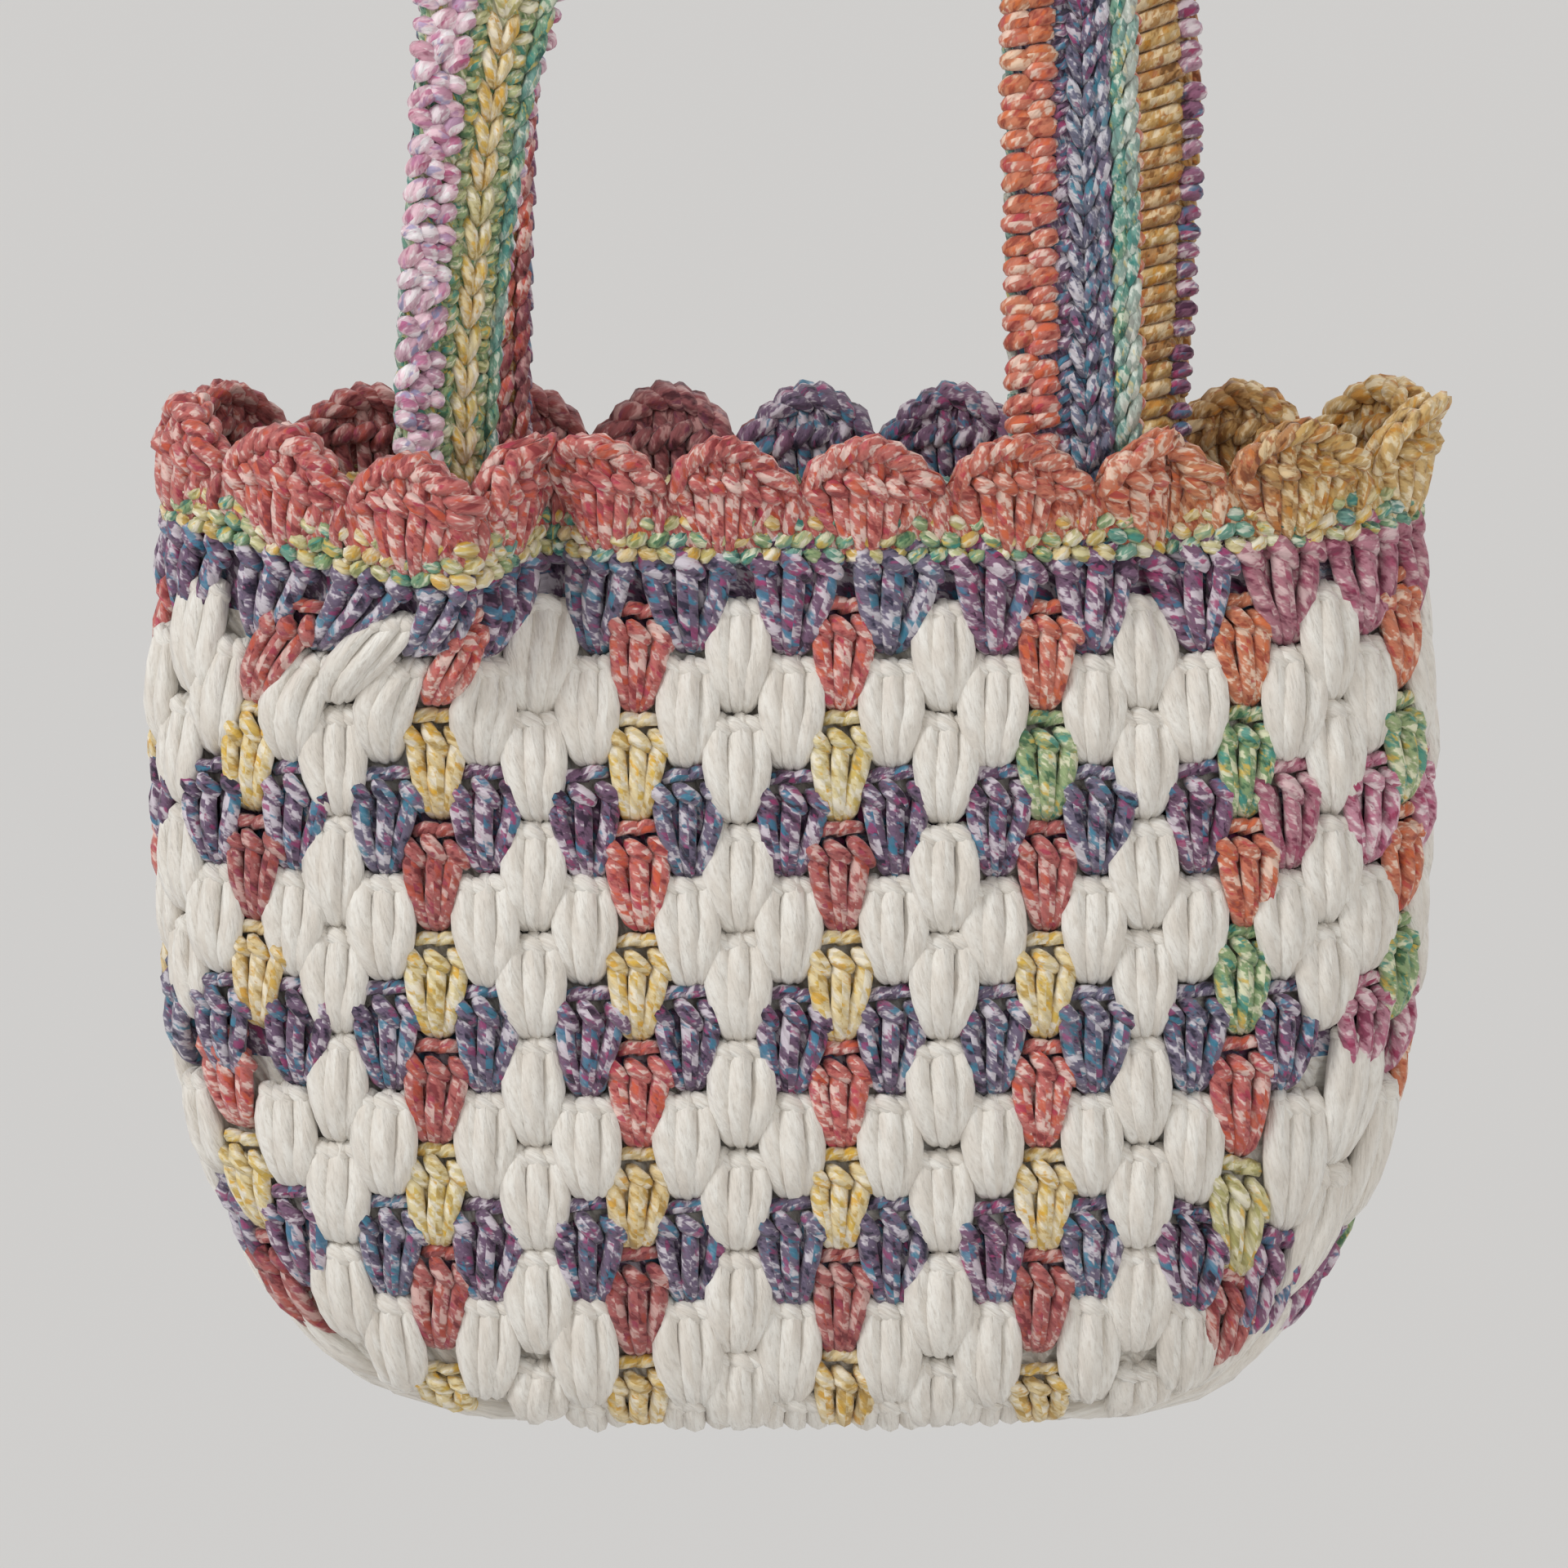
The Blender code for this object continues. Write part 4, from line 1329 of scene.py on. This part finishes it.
def strap_fabric(strap, halves, speckled):
    """One strap: columns of stitches on both faces of a thin core."""
    path = StrapPath(strap)
    fabric = Fabric(strap.name + "_stitches")
    kinds = {}
    for columns in halves:
        for column in columns:
            if column.kind not in kinds:
                kinds[column.kind] = [strap_stitch(column.kind) for _ in range(STRAP_KINDS)]
    for half, columns in enumerate(halves):
        start = STRAP_END if half == 0 else path.middle
        end = path.middle if half == 0 else path.length - STRAP_END
        way = 1.0 if half == 0 else -1.0
        for face in (-1.0, 1.0):
            for column in columns:
                count = int((end - start) / (column.pitch * MM))
                places = start + (end - start) * (np.arange(count) + 0.5) / count
                picks = chance.integers(0, STRAP_KINDS, count)
                edge = 1.0 - 0.45 * (abs(column.across) * MM / (0.5 * STRAP_WIDTH)) ** 4
                base = (STRAP_THICKNESS * 0.5 - STITCH_SEAT) * edge
                free = KNOB_STRAY if column.kind in ("knob", "bar", "bead") else CHAIN_STRAY
                for index, stitch in enumerate(kinds[column.kind]):
                    chosen = places[picks == index]
                    if not len(chosen):
                        continue
                    local = stitch.points[None]
                    stray = chance.uniform(-free, free, (2, len(chosen), 1))
                    along = chosen[:, None] + way * local[..., 1] + stray[0]
                    side = -face * way * (column.across * MM + local[..., 0]) + 0.5 * stray[1]
                    points = path.at(along, side, face * (base + local[..., 2]))
                    share = np.clip((chosen - start) / (end - start), 0.0, 1.0)
                    if half == 1:
                        share = 1.0 - share
                    share = np.clip(share * 2.0, 0.0, 1.0)
                    tone = column.low + (column.high - column.low) * share
                    near_top = 1.0 - np.abs(chosen - path.middle) / CHANGE_OVER
                    swap = chance.uniform(0.0, 1.0, len(chosen)) < 0.5 * near_top
                    tone = np.where(swap, opposite_tone(halves[1 - half], -column.across), tone)
                    tone = tone + chance.uniform(-0.035, 0.035, len(chosen))
                    fabric.add(stitch, points, tone)
    core, tones = strap_core(path, halves)
    fabric.add(core, core.points[None], tones[None])
    piece = fabric.build(speckled, strap.name.replace("handle", "strap") + "_yarn")
    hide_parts(strap.name)


def strap_core(path, halves):
    """A thin flat core that closes the gaps between a strap's stitches, and its tones.

    Each half has the tone of its middle column.
    """
    core = Tubes()
    steps = 140
    sides = 14
    along = np.linspace(0.001, path.length - 0.001, steps)
    turn = FULL_TURN * np.arange(sides) / sides
    exponent = 0.6
    across = 0.5 * STRAP_WIDTH * 0.88 * np.sign(np.cos(turn)) * np.abs(np.cos(turn)) ** exponent
    through = 0.5 * STRAP_THICKNESS * 0.50 * np.sign(np.sin(turn)) * np.abs(np.sin(turn)) ** exponent
    grid = np.stack(np.broadcast_arrays(along[:, None], across[None], through[None]), axis=-1)
    core.points = path.at(grid[..., 0], grid[..., 1], grid[..., 2]).reshape(-1, 3)
    first = np.arange(sides)
    caps = np.concatenate((first[::-1], first + (steps - 1) * sides))
    core.corners = np.concatenate((grid_faces(steps, sides).reshape(-1), caps))
    core.sizes = np.concatenate((np.full((steps - 1) * sides, 4), (sides, sides)))
    spot = core.points[core.corners]
    core.yarn = np.stack((spot[:, 2] / MM, spot[:, 0] * 200.0), axis=-1)
    lower, upper = [min(columns, key=lambda column: abs(column.across)).low for columns in halves]
    return core, np.where(grid[..., 0].reshape(-1) > path.middle, upper, lower)


def body_lining(speckled):
    """The inner side of the wall: rows of upright bumps, plum behind the plum rows."""
    fabric = Fabric("body_lining")
    across = 336
    levels_each = 5
    plum = ROW_SHADES["plum"].tone
    turns = np.linspace(0.0, 1.0, across + 1)[:-1]
    for row in range(ROW_COUNT):
        top = 1.0 if row == 0 else TOP_ROW - ROW_STEP * (row - 0.5)
        low = TOP_ROW - ROW_STEP * (row + 0.5) if row < ROW_COUNT - 1 else 0.0
        sheet = Tubes()
        rings = []
        for share in np.linspace(0.0, 1.0, levels_each):
            level = low + (top - low) * share
            outline = Outline(level)
            angle = outline.angle(turns * outline.length)
            swell = np.abs(np.sin(math.pi * (turns * LINING_BUMPS + 0.5 * (row % 2))))
            relief = LINING_RELIEF * swell * math.sin(math.pi * share) ** 0.6
            closer = 0.0014 * float(smoothstep((0.42 - level) / 0.2))
            rings.append(wall_place(angle, np.full(across, level), LINING_INSET - closer + relief))
        place = np.stack(rings)
        if row == ROW_COUNT - 1:
            centre = place[0].mean(axis=0)
            inner = [centre + (place[0] - centre) * share for share in (0.001, 0.35, 0.7)]
            place = np.concatenate((np.stack(inner), place))
            place[:, :, 2] = np.maximum(place[:, :, 2], BODY_BOTTOM + 0.005)
        count = len(place)
        sheet.points = place.reshape(-1, 3)
        sheet.corners = grid_faces(count, across).reshape(-1)
        sheet.sizes = np.full((count - 1) * across, 4)
        spot = sheet.points[sheet.corners]
        sheet.yarn = np.stack((spot[:, 2] / MM, (spot[:, 0] - spot[:, 1]) * 90.0), axis=-1)
        fabric.add(sheet, sheet.points[None], np.array((plum if row % 4 == 0 else WHITE_TONE,)))
    piece = fabric.build(speckled, "body_yarn")
    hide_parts("bag_body")


def camera_and_light():
    """The photo's viewing angle, a pale floor and soft light from the upper left."""
    aim = Vector(CAMERA_AIM)
    elevation = math.radians(CAMERA_ELEVATION)
    direction = Vector((0.0, -math.cos(elevation), math.sin(elevation)))
    data = bpy.data.cameras.new("camera")
    camera = bpy.data.objects.new("camera", data)
    camera.location = aim + direction * CAMERA_DISTANCE
    camera.rotation_euler = (-direction).to_track_quat("-Z", "Y").to_euler()
    data.sensor_fit = "HORIZONTAL"
    data.angle = 2.0 * math.atan(0.5 * FRAME_WIDTH / CAMERA_DISTANCE)
    data.clip_end = 200.0
    bpy.context.scene.collection.objects.link(camera)
    bpy.context.scene.camera = camera
    floor_mesh = bpy.data.meshes.new("floor")
    corners = [(x * FLOOR_HALF, y * FLOOR_HALF, FLOOR_LEVEL) for x, y in ((-1, -1), (1, -1), (1, 1), (-1, 1))]
    floor_mesh.from_pydata(corners, [], [(0, 1, 2, 3)])
    floor = bpy.data.objects.new("floor", floor_mesh)
    n = Nodes("pale_floor")
    n.shader.inputs["Base Color"].default_value = linear((168, 167, 165))
    n.shader.inputs["Roughness"].default_value = 0.9
    n.shader.inputs["Emission Color"].default_value = linear((255, 254, 253))
    n.shader.inputs["Emission Strength"].default_value = FLOOR_GLOW
    floor_mesh.materials.append(n.material)
    bpy.context.scene.collection.objects.link(floor)
    world = bpy.data.worlds.new("world")
    world.use_nodes = True
    background = world.node_tree.nodes["Background"]
    background.inputs[0].default_value = linear((236, 234, 232))
    background.inputs[1].default_value = WORLD_STRENGTH
    bpy.context.scene.world = world
    for lamp in LAMPS:
        light = bpy.data.lights.new(lamp.name, "AREA")
        light.shape = "DISK"
        light.size = lamp.size
        light.energy = lamp.power
        stand = bpy.data.objects.new(lamp.name, light)
        stand.location = lamp.place
        aim_way = Vector(LIGHT_AIM) - stand.location
        stand.rotation_euler = aim_way.to_track_quat("-Z", "Y").to_euler()
        bpy.context.scene.collection.objects.link(stand)
    bpy.context.scene.view_settings.view_transform = "Standard"


RIM = Outline(1.0, 0.5 * TRIM_THICKNESS)
HALF_SCALLOP = 0.5 * RIM.length / SCALLOP_COUNT

camera_and_light()
speckled = speckled_yarn()
white = white_yarn()
FRONT_FACE = FaceMap(False)
BACK_FACE = FaceMap(True)
main_body(speckled, white)
top_round(speckled)
body_lining(speckled)
rim_band(speckled)
scallop_trim(speckled)
strap_fabric(STRAPS[0], (LEFT_FRONT, RIGHT_FRONT), speckled)
strap_fabric(STRAPS[1], (LEFT_BACK, RIGHT_BACK), speckled)
